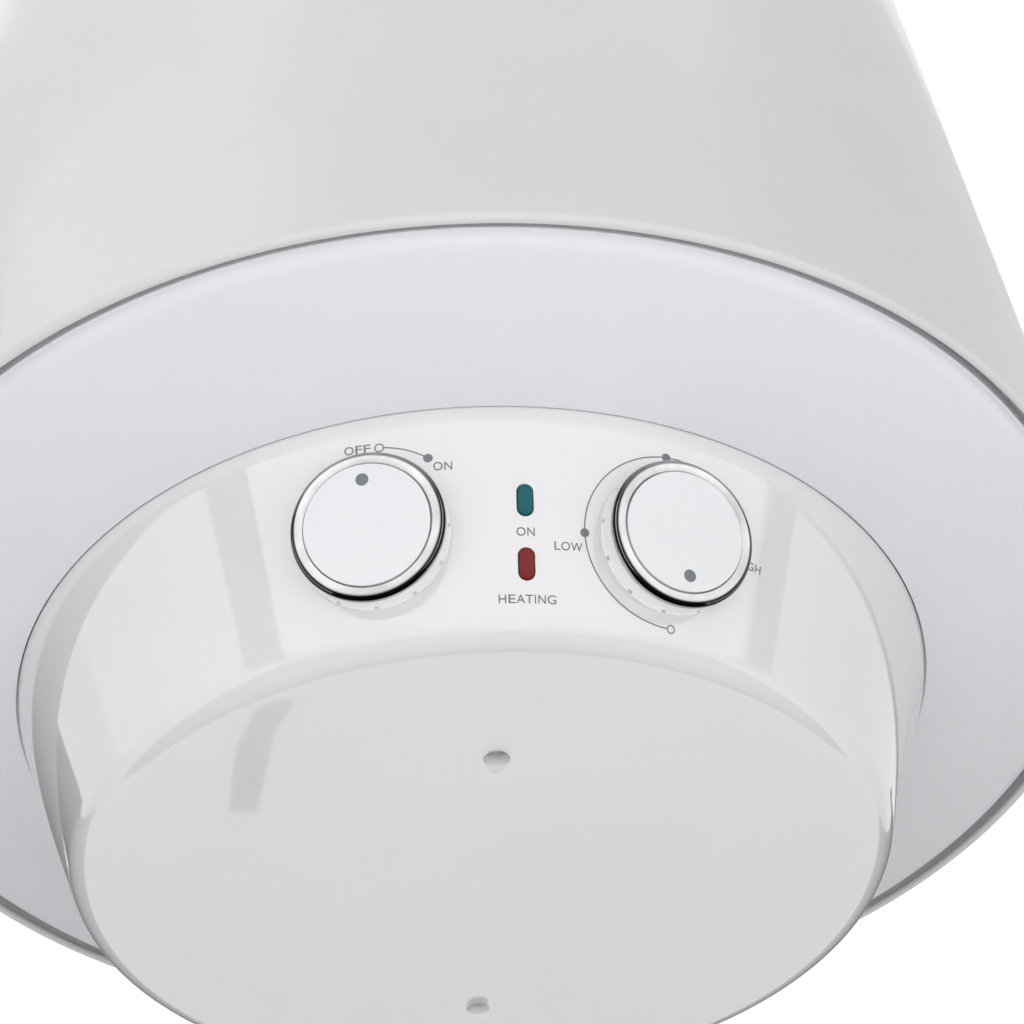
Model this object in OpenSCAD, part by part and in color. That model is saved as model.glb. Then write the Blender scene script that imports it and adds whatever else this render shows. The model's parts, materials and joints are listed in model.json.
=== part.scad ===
// Wall-hung electric storage water heater: a steel jacket round a foamed tank, with the heating flange,
// the thermostat and the power switch under a drum-shaped control cover at the bottom.
// Units are millimetres. The origin is the middle of the wall bracket's slots, on the wall's face.
// The front faces -Y and +Z is up.

/* [Jacket] */
// Outside diameter of the jacket
jacket_d = 450; // [440:1:470]
// Height of the jacket between its two rolled edges
jacket_h = 500; // [480:1:700]
// Thickness of the jacket's sheet
jacket_t = 1; // [0.6:0.1:1.4]
// Diameter of the bead rolled along each edge
bead_d = 3; // [2.4:0.2:4]

/* [Caps] */
// Wall of the moulded caps
cap_t = 2.5; // [2:0.25:3.5]
// Gap between a cap and the jacket's bead
cap_gap = 0.5; // [0.3:0.1:0.9]
// Height of a cap's spigot inside the jacket
spigot_h = 18; // [12:1:24]
// Rise of the domed top cap
top_rise = 18; // [10:1:40]
// Drop of the bottom cap from its rim to the cover's seam
bottom_drop = 7; // [5:0.5:10]
// Rounding of the bottom cap's outer edge
cap_edge = 1.5; // [0.5:0.25:2]
// Height of the collar that the control cover plugs into
collar_h = 15; // [12:1:20]

/* [Control cover] */
// Width of the ring between the cover's seam and the jacket's outside
ring_w = 64.6; // [62:0.2:69]
// Depth of the cover below its seam
cover_depth = 66.5; // [62:0.5:90]
// Lean of the cover's wall from the heater's axis, in degrees
cover_draft = 21.3; // [16:0.1:24]
// Radius of the soft edge round the cover's flat bottom
cover_fillet = 10; // [6:0.5:14]
// Wall of the cover
cover_t = 2.5; // [2:0.25:3]
// Gap that shows as the seam line
seam_gap = 0.5; // [0.4:0.1:0.9]
// Height of the cover's rim inside the collar
rim_h = 10; // [6:0.5:14]

/* [Knobs] */
// Turn of each knob from the heater's front, in degrees
knob_azimuth = 17; // [15:0.1:20]
// Distance of a knob's axis below the seam, along the cover's wall
knob_slant = 37.2; // [33:0.1:41]
// Diameter of a knob's skirt
skirt_d = 44.8; // [42:0.2:48]
// Diameter of a knob's bright ring
ring_d = 44.2; // [41:0.2:46]
// Diameter of a knob's white cap
knob_cap_d = 36.6; // [34:0.2:38]
// Height of a knob above the cover's wall
knob_h = 10.7; // [9.5:0.1:12]
// Running gap under a knob
knob_gap = 0.4; // [0.3:0.1:0.8]
// Thickness of a knob's white cap
knob_cap_t = 2.1; // [1.5:0.1:2.4]
// Height of the flat seat moulded under a knob
seat_h = 0.3; // [0.2:0.1:0.6]
// Number of drain notches along a skirt's edge
notch_count = 12; // [6:1:18]
// Diameter of the control spindles
spindle_d = 6; // [5:0.5:8]

/* [Lamps] */
// Width of a lamp lens
lamp_w = 4.4; // [3:0.2:6]
// Length of a lamp lens
lamp_l = 9.6; // [8:0.2:12]
// Distance of the power lamp below the seam, along the wall
power_lamp_slant = 29.5; // [28:0.1:33]
// Distance of the heating lamp below the seam, along the wall
heating_lamp_slant = 49.2; // [48:0.1:52]
// Height that a lens stands out of the wall
lamp_proud = 0.9; // [0.4:0.1:1.5]

/* [Tank] */
// Thickness of the foam between the jacket and the tank
foam_t = 28; // [25:0.5:31]
// Thickness of the tank's steel
tank_t = 2; // [1.5:0.1:2.5]
// Thickness of the foam above the tank
top_foam_t = 22.5; // [16:0.5:60]
// Crown radius of the tank's domes
crown_r = 400; // [380:5:450]
// Knuckle radius of the tank's domes
knuckle_r = 25; // [20:1:30]

/* [Flange] */
// Inside diameter of the flange's collar
flange_bore_d = 96; // [90:1:98]
// Outside diameter of the flange plate
flange_d = 132; // [130:1:134]
// Thickness of the flange plate
flange_t = 4; // [3:0.5:6]
// Thickness of the flange gasket
gasket_t = 3; // [2:0.5:4]
// Thickness of the collar's ring
flange_ring_t = 6; // [5:0.5:8]
// Diameter of the flange bolts
flange_bolt_d = 8; // [6:1:8]
// Diameter of the circle of flange bolts
flange_pcd = 116; // [115:1:117]
// Height of the heating element inside the tank
element_h = 240; // [160:5:320]
// Diameter of the heating element's tube
element_d = 8.4; // [7:0.2:9]
// Length of the magnesium rod
anode_l = 200; // [120:5:300]
// Diameter of the magnesium rod
anode_d = 22; // [16:1:26]
// Length of the sensor pocket above the flange
pocket_l = 190; // [150:5:250]

/* [Water pipes] */
// Distance between the two pipes
pipe_pitch = 100; // [90:1:120]
// Outside diameter of the pipes' half-inch thread
thread_d = 20.96; // [20.4:0.02:21.2]
// Length of the pipes' thread
thread_l = 20; // [14:1:24]
// Outside diameter of the plain pipes
pipe_d = 20; // [19:0.2:20.4]
// Bore of the pipes
pipe_bore_d = 15; // [12:0.5:16]
// Length of pipe below its seat on the bottom cap
pipe_drop = 42; // [36:1:60]

/* [Cord gland] */
// Bore of the gland for the supply cord
gland_bore_d = 9; // [7:0.5:10]
// Length of the gland below its seat
gland_l = 20; // [16:1:26]

/* [Wall bracket] */
// Gap between the jacket and the wall
wall_gap = 15; // [12:1:25]
// Distance of the bracket's slots below the jacket's upper edge
hang_drop = 120; // [60:5:200]
// Width of the bracket
bracket_w = 250; // [235:5:280]
// Height of the bracket
bracket_h = 64; // [50:1:80]
// Thickness of the bracket's steel
bracket_t = 2.5; // [2:0.25:4]
// Distance between the bracket's two slots
slot_pitch = 180; // [160:5:190]
// Length of a slot, end to end
slot_l = 24; // [18:1:28]
// Width of a slot
slot_w = 9; // [8:0.5:10]

/* [Hidden] */
$fn = 96;

// Clearances and small overlaps of cutting tools
fit = 0.1;
clear = 0.3;
slide = 0.08;
cut = 1;

// Colours
white = [0.93, 0.93, 0.94];
steel = [0.62, 0.63, 0.64];
chrome = [0.82, 0.83, 0.85];
brass = [0.8, 0.65, 0.35];
copper = [0.75, 0.45, 0.3];
dark = [0.16, 0.16, 0.17];

// The heater's own frame: its axis is Z, and z = 0 is the jacket's lower edge
jacket_r = jacket_d / 2;
bead_r = bead_d / 2;
axis_to_wall = jacket_r + wall_gap;
hang_h = jacket_h - hang_drop;
cap_r = jacket_r - bead_d - cap_gap;
cap_rim_z = 0.2;
seam_z = -bottom_drop;
seam_r = jacket_r - ring_w;
opening_r = seam_r + seam_gap;
cover_bottom_z = seam_z - cover_depth;
collar_top_z = seam_z + collar_h;

// Tank: tangent line of the lower dome, and the depth of a dome
function dome_depth(r) =
    crown_r - sqrt(pow(crown_r - knuckle_r, 2) - pow(r - knuckle_r, 2));
tank_r = jacket_r - foam_t;
tank_depth = dome_depth(tank_r);
flange_face_z = 2;
neck_h = 13;
tank_z = flange_face_z + neck_h + tank_depth;
foam_low_z = spigot_h + cut;
foam_high_z = jacket_h - spigot_h - cut;
tank_top_z = foam_high_z - top_foam_t - tank_depth;
foam_collar = 8;

// Flange: the stack below the collar's face
flange_bore_r = flange_bore_d / 2;
neck_t = 5;
neck_over = 9;
gasket_low_z = flange_face_z - gasket_t;
plate_low_z = gasket_low_z - flange_t;
bolt_count = 6;
bolt_head_r = 7.5;
bolt_head_h = 5.5;
bolt_over = 2;
element_half = 17;
element_out = 4;
bead_inset = 0.6;
bead_h = 4;
pin_r = 2;
pin_l = 15;
pin_nut_r = 4;
pin_nut_h = 3.5;
pocket_at = [0, -28];
pocket_r = 5;
pocket_bore_r = 4.1;
pocket_out = 7;
pocket_end = 2;
pocket_collar_w = 2.5;
pocket_collar_h = 4;
anode_at = [0, 28];
anode_up = 8;
anode_stud_d = 8;
anode_stud_out = 9;
anode_washer_w = 3;
anode_washer_h = 3;
anode_nut_r = 7.5;
anode_nut_h = 6.5;
earth_at = [20, -34.6];
earth_d = 4.8;
earth_head_r = 4.5;
earth_head_h = 3;
terminal_half = [13, 18];
terminal_h = 16;
terminal_ways = [-1, 0, 1];
terminal_pitch = 10;
terminal_screw_r = 2.6;
terminal_screw_sink = 7;
terminal_wire_r = 2.2;
cutout_half = [13, 16];
cutout_h = 20;
cutout_nose_r = 9;
cutout_nose_h = 4;
side_x = 41;
button_d = 6;
button_travel = 1.5;
button_out = 4;
button_in = 5;

// Pipes and gland pass through the ring between the cover and the jacket
pad_r = 15.5;
pad_drop = 2.5;
pad_margin = 1.3;
pad_z = seam_z - pad_drop;
pad_top_z = cap_rim_z + cap_t + clear;
pipe_ring = opening_r + pad_r + pad_margin;
pipe_y = sqrt(pow(pipe_ring, 2) - pow(pipe_pitch / 2, 2));
pipe_low_z = pad_z - pipe_drop;
marker_r = 14.5;
marker_t = 3;
pipe_up = 20;
pipe_top_z = tank_z + pipe_up;
riser_t = 1.2;
riser_in = 15;
riser_down = 5;
diffuser_wall = 2.2;
diffuser_l = 30;
diffuser_slots = 4;
diffuser_slot_w = 4;
gland_set = 3;
gland_at = [0, pipe_ring + gland_set];
gland_thread_d = 16;
gland_thread_l = 20;
gland_chamber = 1;
gland_nut_r = 12.1;
gland_nut_t = 5;
gland_hex_r = 12.7;
gland_hex_h = 6;
gland_body_r = 10;

// The block between the heater's lower end and the wall
spacer_z = 60;
spacer_w = 56;
spacer_h = 36;
spacer_wall = 4;

// Cover screws and the brackets that take them
screw_count = 2;
screw_azimuth = -2.7;
screw_ring = 77;
screw_hole_d = 8;
screw_sink = 6.5;
screw_head_d = 4.6;
screw_head_h = 3.6;
screw_d = 3;
screw_over = 3;
post_r = 6;
strap_t = 2;
strap_w = 16;
strap_gap = 2;
strap_grip = 9;
strap_reach = 9;
strap_up = 21.5;
strap_in_r = flange_d / 2 + strap_gap;
strap_top_in = flange_pcd / 2 - strap_grip;
strap_out_r = screw_ring + strap_reach;
strap_low_z = cover_bottom_z + strap_up;

// Knobs and controls, measured outwards from the cover's wall at the knob's axis
ring_gap = 0.2;
ring_wall = (ring_d - knob_cap_d) / 2 - ring_gap;
ring_sunk = 0.4;
ring_top = knob_h - ring_sunk;
skirt_low = seat_h + knob_gap;
skirt_top = ring_top - ring_wall;
skirt_taper = 0.6;
skirt_step = 0.4;
skirt_lean = 1;
knob_top = knob_h - knob_cap_t;
knob_roof = 2.2;
knob_edge = 0.6;
hub_r = 6;
hollow_r = 16.8;
notch = [1.2, 2, 0.7];
notch_turn = -3.4;
spindle_flat = 1.9;
spindle_sunk = 1.4;
spindle_top = knob_top - spindle_sunk;
spindle_low = -13;
seat_margin = 0.2;
seat_root = 2.1;
seat_r = skirt_d / 2 + seat_margin;
pad_depth = 6;
pad_w = 17;
bush_r = 4.5;
bush_out = 0.5;
plate_t = 1.5;
control_pitch = 24;
control_screw_d = 3.9;
control_head_r = 3.2;
control_head_h = 2.2;
control_screw_in = 9;
control_tab_w = 16;
switch_size = [36, 36, 22];
thermostat_size = [40, 38, 28];
blade = [6.3, 8, 0.8];
corner_r = 3;
lens_flange = 1.3;
lens_lip = 1.4;
lens_crown_r = 5;
lens_edge = 0.2;
lamp_body = [8, 14, 16];

// The capillary's way from the thermostat to its pocket, points chosen by hand
capillary_d = 2;
capillary_out = 8;
bulb_d = 7.2;
bulb_l = 110;
bulb_low_z = 68;
capillary_route = [
    [26, -86, -22], [14, -62, -25], [4, -40, -28], [0, -29, -24], [0, -28, -12], [0, -28, 20],
];

// Sweep of a round tube along a smooth route
function unit(v) = v / norm(v);
function tangent(p, i) = unit(p[min(i + 1, len(p) - 1)] - p[max(i - 1, 0)]);
function square_to(n, t) = unit(n - (n * t) * t);
function normals(p, n, i = 0) =
    i == len(p) ? [] : let (m = square_to(n, tangent(p, i))) concat([m], normals(p, m, i + 1));
function between(a, b, c, d, t) =
    0.5 * (2 * b + (c - a) * t + (2 * a - 5 * b + 4 * c - d) * t * t
        + (3 * b - a - 3 * c + d) * t * t * t);
function smooth_route(p, steps) = [
    for (i = [0 : len(p) - 2], j = [0 : steps - 1])
        between(p[max(i - 1, 0)], p[i], p[i + 1], p[min(i + 2, len(p) - 1)], j / steps),
    p[len(p) - 1],
];

module tube_along(route, d, sides = 8) {
    normal = normals(route, [0.3, 0.2, 0.9]);
    rings = len(route);
    points = [
        for (i = [0 : rings - 1], k = [0 : sides - 1])
            let (across = cross(tangent(route, i), normal[i]))
                route[i] + d / 2 * (cos(360 * k / sides) * normal[i] + sin(360 * k / sides) * across),
    ];
    walls = [
        for (i = [0 : rings - 2], k = [0 : sides - 1])
            let (a = i * sides + k, b = i * sides + (k + 1) % sides)
                each [[a, a + sides, b], [b, a + sides, b + sides]],
    ];
    first = [for (k = [1 : sides - 2]) [0, k, k + 1]];
    base = (rings - 1) * sides;
    last = [for (k = [1 : sides - 2]) [base, base + k + 1, base + k]];
    polyhedron(points, concat(walls, first, last));
}

// Placing: heater frame to wall frame, and a spot on the cover's wall with its normal as Z
module placed() {
    translate([0, -axis_to_wall, -hang_h])
        children();
}

module on_cover(azimuth, slant) {
    rotate([0, 0, azimuth])
        translate([0, -(seam_r - slant * sin(cover_draft)), seam_z - slant * cos(cover_draft)])
            rotate([90 + cover_draft, 0, 0])
                children();
}

module around(count, turn) {
    for (i = [0 : count - 1])
        rotate([0, 0, turn + i * 360 / count])
            children();
}

module tube(r_out, r_in, low, high) {
    translate([0, 0, low])
        difference() {
            cylinder(r = r_out, h = high - low);
            translate([0, 0, -cut])
                cylinder(r = r_in, h = high - low + 2 * cut);
        }
}

module rod(r, low, high) {
    translate([0, 0, low])
        cylinder(r = r, h = high - low);
}

module hex(r, low, high) {
    translate([0, 0, low])
        cylinder(r = r, h = high - low, $fn = 6);
}

module stadium(w, l) {
    square([w, l - w], center = true);
    for (side = [-1, 1])
        translate([0, side * (l - w) / 2])
            circle(d = w);
}

module rounded_block(size, low) {
    translate([0, 0, low])
        linear_extrude(size[2])
            union() {
                square([size[0] - 2 * corner_r, size[1]], center = true);
                square([size[0], size[1] - 2 * corner_r], center = true);
                for (x = [-1, 1], y = [-1, 1])
                    translate([x * (size[0] / 2 - corner_r), y * (size[1] / 2 - corner_r)])
                        circle(r = corner_r);
            }
}

// Casing
module outer_jacket() {
    color(white)
        placed()
            rotate_extrude()
                union() {
                    translate([jacket_r - jacket_t, bead_r])
                        square([jacket_t, jacket_h - bead_d]);
                    for (z = [bead_r, jacket_h - bead_r])
                        translate([jacket_r - bead_r, z])
                            circle(r = bead_r);
                }
}

module top_profile(inset) {
    sphere_r = (pow(cap_r, 2) + pow(top_rise, 2)) / (2 * top_rise);
    intersection() {
        translate([0, jacket_h + top_rise - sphere_r])
            circle(r = sphere_r - inset, $fn = 360);
        translate([0, jacket_h - spigot_h - (inset > 0 ? cut : 0)])
            square([cap_r - inset, spigot_h + top_rise + cut]);
    }
}

module top_cap() {
    color(white)
        placed()
            rotate_extrude()
                difference() {
                    top_profile(0);
                    top_profile(cap_t);
                }
}

module bottom_profile() {
    polygon([
        [opening_r, seam_z],
        [cap_r - cap_edge, cap_rim_z],
        [cap_r, cap_rim_z + cap_edge],
        [cap_r, spigot_h],
        [cap_r - cap_t, spigot_h],
        [cap_r - cap_t, cap_rim_z + cap_t],
        [opening_r + cap_t, seam_z + cap_t],
        [opening_r + cap_t, collar_top_z],
        [opening_r, collar_top_z],
    ]);
}

module at_pipes() {
    for (side = [-1, 1])
        translate([side * pipe_pitch / 2, pipe_y, 0])
            children();
}

module bottom_cap() {
    color(white)
        placed()
            difference() {
                union() {
                    rotate_extrude()
                        bottom_profile();
                    at_pipes()
                        rod(pad_r, pad_z, pad_top_z);
                    translate(gland_at)
                        rod(pad_r, pad_z, pad_top_z);
                }
                at_pipes()
                    rod(pipe_d / 2 + clear, pad_z - cut, pad_top_z + cut);
                translate(gland_at)
                    rod(gland_thread_d / 2 + fit, pad_z - cut, pad_top_z + cut);
            }
}

// The cover's half section, moved inwards by inset
module cover_profile(inset) {
    wall_out = [cos(cover_draft), -sin(cover_draft)];
    turn_z = cover_bottom_z + cover_fillet;
    turn_r = seam_r + (turn_z - seam_z) * tan(cover_draft) - cover_fillet / cos(cover_draft);
    turn = [turn_r, turn_z];
    round_r = cover_fillet - inset;
    rim_r = seam_r - inset / cos(cover_draft);
    high = seam_z + rim_h + (inset > 0 ? cut : 0);
    polygon([
        [0, high],
        [rim_r, high],
        [rim_r, seam_z],
        turn + round_r * wall_out,
        turn,
        turn + [0, -round_r],
        [0, cover_bottom_z + inset],
    ]);
    translate(turn)
        circle(r = round_r);
}

module at_screws() {
    around(screw_count, screw_azimuth)
        translate([0, -screw_ring, 0])
            children();
}

module control_cover() {
    color(white)
        placed()
            difference() {
                union() {
                    rotate_extrude()
                        difference() {
                            cover_profile(0);
                            cover_profile(cover_t);
                        }
                    for (side = [-1, 1])
                        on_cover(side * knob_azimuth, knob_slant) {
                            rod(seat_r, -seat_root, seat_h);
                            rod(pad_w, -pad_depth, 0);
                        }
                    at_screws()
                        rod(post_r, cover_bottom_z + cut, strap_low_z - clear);
                }
                for (side = [-1, 1])
                    on_cover(side * knob_azimuth, knob_slant) {
                        rod(bush_r + clear, -pad_depth - cut, seat_h + cut);
                        for (x = [-1, 1])
                            translate([x * control_pitch / 2, 0, 0])
                                rod(control_screw_d / 2 + clear, -pad_depth - cut, seat_h + cut);
                    }
                for (slant = [power_lamp_slant, heating_lamp_slant])
                    on_cover(0, slant)
                        translate([0, 0, -cover_t - cut])
                            linear_extrude(cover_t + 2 * cut)
                                stadium(lamp_w + 2 * clear, lamp_l + 2 * clear);
                at_screws() {
                    rod(screw_hole_d / 2, cover_bottom_z - cut, cover_bottom_z + screw_sink);
                    rod(screw_d / 2 + clear, cover_bottom_z, strap_low_z + cut);
                }
            }
}

module cover_screws() {
    seat = cover_bottom_z + screw_sink;
    color(steel)
        placed()
            at_screws() {
                rod(screw_head_d / 2, seat - screw_head_h, seat);
                rod(screw_d / 2, seat - fit, strap_low_z + strap_t + screw_over);
            }
}

// Bent straps clamped under two flange bolts, which hold the cover's screws
module cover_strap() {
    translate([-strap_w / 2, -strap_in_r, plate_low_z - strap_t])
        cube([strap_w, strap_in_r - strap_top_in, strap_t]);
    translate([-strap_w / 2, -strap_in_r - strap_t, strap_low_z])
        cube([strap_w, strap_t, plate_low_z - strap_low_z]);
    translate([-strap_w / 2, -strap_out_r, strap_low_z])
        cube([strap_w, strap_out_r - strap_in_r, strap_t]);
}

module cover_brackets() {
    color(steel)
        placed()
            difference() {
                around(screw_count, screw_azimuth)
                    cover_strap();
                at_screws()
                    rod(screw_d / 2 + fit, strap_low_z - cut, strap_low_z + strap_t + cut);
                at_bolts()
                    rod(flange_bolt_d / 2 + clear, plate_low_z - strap_t - cut, plate_low_z + cut);
            }
}

module wall_bracket() {
    plate_y = axis_to_wall - bracket_t;
    lip = wall_gap - bracket_t - clear;
    low = hang_h - bracket_h / 2;
    color(steel)
        placed()
            difference() {
                union() {
                    translate([-bracket_w / 2, plate_y, low])
                        cube([bracket_w, bracket_t, bracket_h]);
                    translate([-bracket_w / 2, plate_y - lip, low + bracket_h - bracket_t])
                        cube([bracket_w, lip + bracket_t, bracket_t]);
                    for (x = [-bracket_w / 2, bracket_w / 2 - bracket_t])
                        translate([x, 0, low])
                            cube([bracket_t, axis_to_wall, bracket_h]);
                }
                translate([0, 0, low - cut])
                    cylinder(r = jacket_r + clear, h = bracket_h + 2 * cut);
                for (side = [-1, 1])
                    translate([side * slot_pitch / 2, axis_to_wall + cut, hang_h])
                        rotate([90, 90, 0])
                            linear_extrude(bracket_t + 2 * cut)
                                stadium(slot_w, slot_l);
            }
}

// A moulded block that keeps the heater's lower end off the wall
module wall_spacer() {
    low = spacer_z - spacer_h / 2;
    pocket_w = spacer_w / 2 - 2 * spacer_wall;
    pocket_y = axis_to_wall - wall_gap / 2;
    color(dark)
        placed()
            difference() {
                translate([-spacer_w / 2, axis_to_wall - 2 * wall_gap, low])
                    cube([spacer_w, 2 * wall_gap, spacer_h]);
                translate([0, 0, low - cut])
                    cylinder(r = jacket_r + clear, h = spacer_h + 2 * cut);
                for (side = [-1, 1])
                    translate([(side * spacer_w / 2 - pocket_w) / 2, pocket_y, low + spacer_wall])
                        cube([pocket_w, wall_gap, spacer_h - 2 * spacer_wall]);
            }
}

// Tank. A dome's half section bulges down from its tangent line at z = 0, grown by grow
function arc(centre, r, from, to, steps) =
    [for (i = [0 : steps]) let (a = from + (to - from) * i / steps) centre + r * [cos(a), sin(a)]];

module dome_profile(grow) {
    crown_at = [0, crown_r - tank_depth];
    knuckle_at = [tank_r - knuckle_r, 0];
    meet = atan2(-crown_at[1], knuckle_at[0]);
    knuckle = arc(knuckle_at, knuckle_r + grow, 0, meet, 6);
    crown = arc(crown_at, crown_r + grow, meet, -90, 8);
    crown_inside = [for (i = [1 : len(crown) - 2]) crown[i]];
    polygon(concat([[0, 0]], knuckle, crown_inside, [[0, crown_at[1] - crown_r - grow]]));
}

module dome_shell() {
    rotate_extrude()
        difference() {
            dome_profile(0);
            dome_profile(-tank_t);
        }
}

module tank_shell() {
    color(steel)
        placed()
            tube(tank_r, tank_r - tank_t, tank_z, tank_top_z);
}

module tank_top_dome() {
    color(steel)
        placed()
            translate([0, 0, tank_top_z])
                mirror([0, 0, 1])
                    dome_shell();
}

module tank_bottom_dome() {
    color(steel)
        placed()
            difference() {
                translate([0, 0, tank_z])
                    dome_shell();
                rod(flange_bore_r + neck_t + fit, 0, tank_z);
                at_pipes()
                    rod(pipe_d / 2 + clear, 0, tank_z + cut);
            }
}

module foam_insulation() {
    color([0.95, 0.85, 0.55])
        placed()
            difference() {
                rod(jacket_r - jacket_t - clear, foam_low_z, foam_high_z);
                rod(tank_r + clear, tank_z, tank_top_z);
                translate([0, 0, tank_z])
                    rotate_extrude()
                        dome_profile(clear);
                translate([0, 0, tank_top_z])
                    mirror([0, 0, 1])
                        rotate_extrude()
                            dome_profile(clear);
                rod(flange_d / 2 + foam_collar, 0, tank_z);
                at_pipes()
                    rod(pipe_d / 2 + clear, 0, tank_z);
            }
}

// Flange
module at_bolts() {
    around(bolt_count, screw_azimuth)
        translate([0, -flange_pcd / 2, 0])
            children();
}

module flange_collar() {
    color(steel)
        placed()
            difference() {
                union() {
                    rod(flange_d / 2, flange_face_z, flange_face_z + flange_ring_t);
                    rod(flange_bore_r + neck_t, flange_face_z, flange_face_z + neck_h + neck_over);
                }
                rod(flange_bore_r, flange_face_z - cut, tank_z);
                at_bolts()
                    rod(flange_bolt_d / 2 + fit, flange_face_z - cut, flange_face_z + flange_ring_t + cut);
            }
}

module flange_gasket() {
    color(dark)
        placed()
            difference() {
                tube(flange_d / 2, flange_bore_r, gasket_low_z, flange_face_z);
                at_bolts()
                    rod(flange_bolt_d / 2 + clear, gasket_low_z - cut, flange_face_z + cut);
            }
}

module flange_plate() {
    low = plate_low_z - cut;
    high = gasket_low_z + cut;
    color(steel)
        placed()
            difference() {
                rod(flange_d / 2, plate_low_z, gasket_low_z);
                at_bolts()
                    rod(flange_bolt_d / 2 + clear, low, high);
                for (side = [-1, 1])
                    translate([side * element_half, 0, 0])
                        rod(element_d / 2 + fit, low, high);
                translate(pocket_at)
                    rod(pocket_r + fit, low, high);
                translate(anode_at)
                    rod(anode_stud_d / 2 + fit, low, high);
                translate(earth_at)
                    rod(earth_d / 2 + fit, low, high);
            }
}

// The bolts at the two cover straps sit lower by the strap's thickness
module flange_bolts() {
    color(steel)
        placed()
            for (i = [0 : bolt_count - 1])
                rotate([0, 0, screw_azimuth + i * 360 / bolt_count])
                    translate([0, -flange_pcd / 2, plate_low_z - (i % (bolt_count / 2) == 0 ? strap_t : 0)]) {
                        hex(bolt_head_r, -bolt_head_h, 0);
                        rod(flange_bolt_d / 2, -fit, flange_t + gasket_t + flange_ring_t + bolt_over);
                    }
}

module heating_element() {
    low = plate_low_z - element_out;
    color(copper)
        placed() {
            for (side = [-1, 1])
                translate([side * element_half, 0, 0])
                    rod(element_d / 2, low, element_h);
            translate([0, 0, element_h])
                rotate([90, 0, 0])
                    rotate_extrude(angle = 180)
                        translate([element_half, 0])
                            circle(d = element_d);
        }
}

module element_terminals() {
    top = plate_low_z - element_out;
    color(brass)
        placed()
            for (side = [-1, 1])
                translate([side * element_half, 0, 0]) {
                    rod(element_d / 2 - bead_inset, top - bead_h, top);
                    rod(pin_r, top - pin_l, top - fit);
                    hex(pin_nut_r, top - bead_h - pin_nut_h, top - bead_h);
                }
}

module sensor_pocket() {
    low = plate_low_z - pocket_out;
    color(copper)
        placed()
            translate(pocket_at)
                difference() {
                    union() {
                        rod(pocket_r, low, pocket_l);
                        rod(pocket_r + pocket_collar_w, plate_low_z - pocket_collar_h, plate_low_z);
                    }
                    rod(pocket_bore_r, low - cut, pocket_l - pocket_end);
                }
}

module magnesium_anode() {
    rod_low = gasket_low_z + anode_up;
    color([0.7, 0.7, 0.68])
        placed()
            translate(anode_at) {
                rod(anode_d / 2, rod_low, rod_low + anode_l);
                rod(anode_stud_d / 2, plate_low_z - anode_stud_out, rod_low + cut);
                rod(anode_stud_d / 2 + anode_washer_w, gasket_low_z, gasket_low_z + anode_washer_h);
            }
}

module anode_nut() {
    color(steel)
        placed()
            translate(anode_at)
                difference() {
                    hex(anode_nut_r, plate_low_z - anode_nut_h, plate_low_z);
                    rod(anode_stud_d / 2 + fit, plate_low_z - anode_nut_h - cut, plate_low_z + cut);
                }
}

// Water pipes
module pipe_solid() {
    difference() {
        union() {
            rod(thread_d / 2, pipe_low_z, pipe_low_z + thread_l);
            rod(pipe_d / 2, pipe_low_z + cut, pipe_top_z);
        }
        rod(pipe_bore_d / 2, pipe_low_z - cut, pipe_top_z + cut);
    }
}

module cold_inlet_pipe() {
    color(steel)
        placed()
            translate([pipe_pitch / 2, pipe_y, 0])
                pipe_solid();
}

module hot_outlet_pipe() {
    color(steel)
        placed()
            translate([-pipe_pitch / 2, pipe_y, 0])
                pipe_solid();
}

// The tube in the hot pipe's upper end, which takes the hottest water from under the upper dome
module hot_riser_tube() {
    r = pipe_bore_d / 2 - fit;
    color(steel)
        placed()
            translate([-pipe_pitch / 2, pipe_y, 0])
                tube(r, r - riser_t, pipe_top_z - riser_in, tank_top_z - riser_down);
}

// A slotted cap on the inlet that spreads the cold water along the tank's floor
module inlet_diffuser() {
    r = pipe_d / 2 + fit;
    high = pipe_top_z + diffuser_l / 2;
    slot_h = diffuser_l / 3;
    color(white)
        placed()
            translate([pipe_pitch / 2, pipe_y, 0])
                difference() {
                    rod(r + diffuser_wall, high - diffuser_l, high);
                    rod(r, high - diffuser_l - cut, high - diffuser_wall);
                    for (i = [0 : diffuser_slots - 1])
                        rotate([0, 0, i * 180 / diffuser_slots])
                            translate([-diffuser_slot_w / 2, -2 * r, pipe_top_z + cut])
                                cube([diffuser_slot_w, 4 * r, slot_h]);
                }
}

module marker_ring() {
    tube(marker_r, pipe_d / 2 + clear, pad_z - marker_t, pad_z);
}

module cold_marker_ring() {
    color([0.15, 0.35, 0.75])
        placed()
            translate([pipe_pitch / 2, pipe_y, 0])
                marker_ring();
}

module hot_marker_ring() {
    color([0.8, 0.15, 0.15])
        placed()
            translate([-pipe_pitch / 2, pipe_y, 0])
                marker_ring();
}

// Supply
module cord_gland() {
    hex_low = pad_z - gland_hex_h;
    color(dark)
        placed()
            translate(gland_at)
                difference() {
                    union() {
                        hex(gland_hex_r, hex_low, pad_z);
                        rod(gland_body_r, pad_z - gland_l, hex_low + fit);
                        rod(gland_thread_d / 2, pad_z - fit, pad_z + gland_thread_l);
                    }
                    rod(gland_bore_d / 2, pad_z - gland_l - cut, pad_z + cut);
                    rod(gland_bore_d / 2 + gland_chamber, pad_z, pad_z + gland_thread_l + cut);
                }
}

module gland_nut() {
    color(dark)
        placed()
            translate(gland_at)
                difference() {
                    hex(gland_nut_r, pad_top_z, pad_top_z + gland_nut_t);
                    rod(gland_thread_d / 2 + fit, pad_top_z - cut, pad_top_z + gland_nut_t + cut);
                }
}

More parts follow.
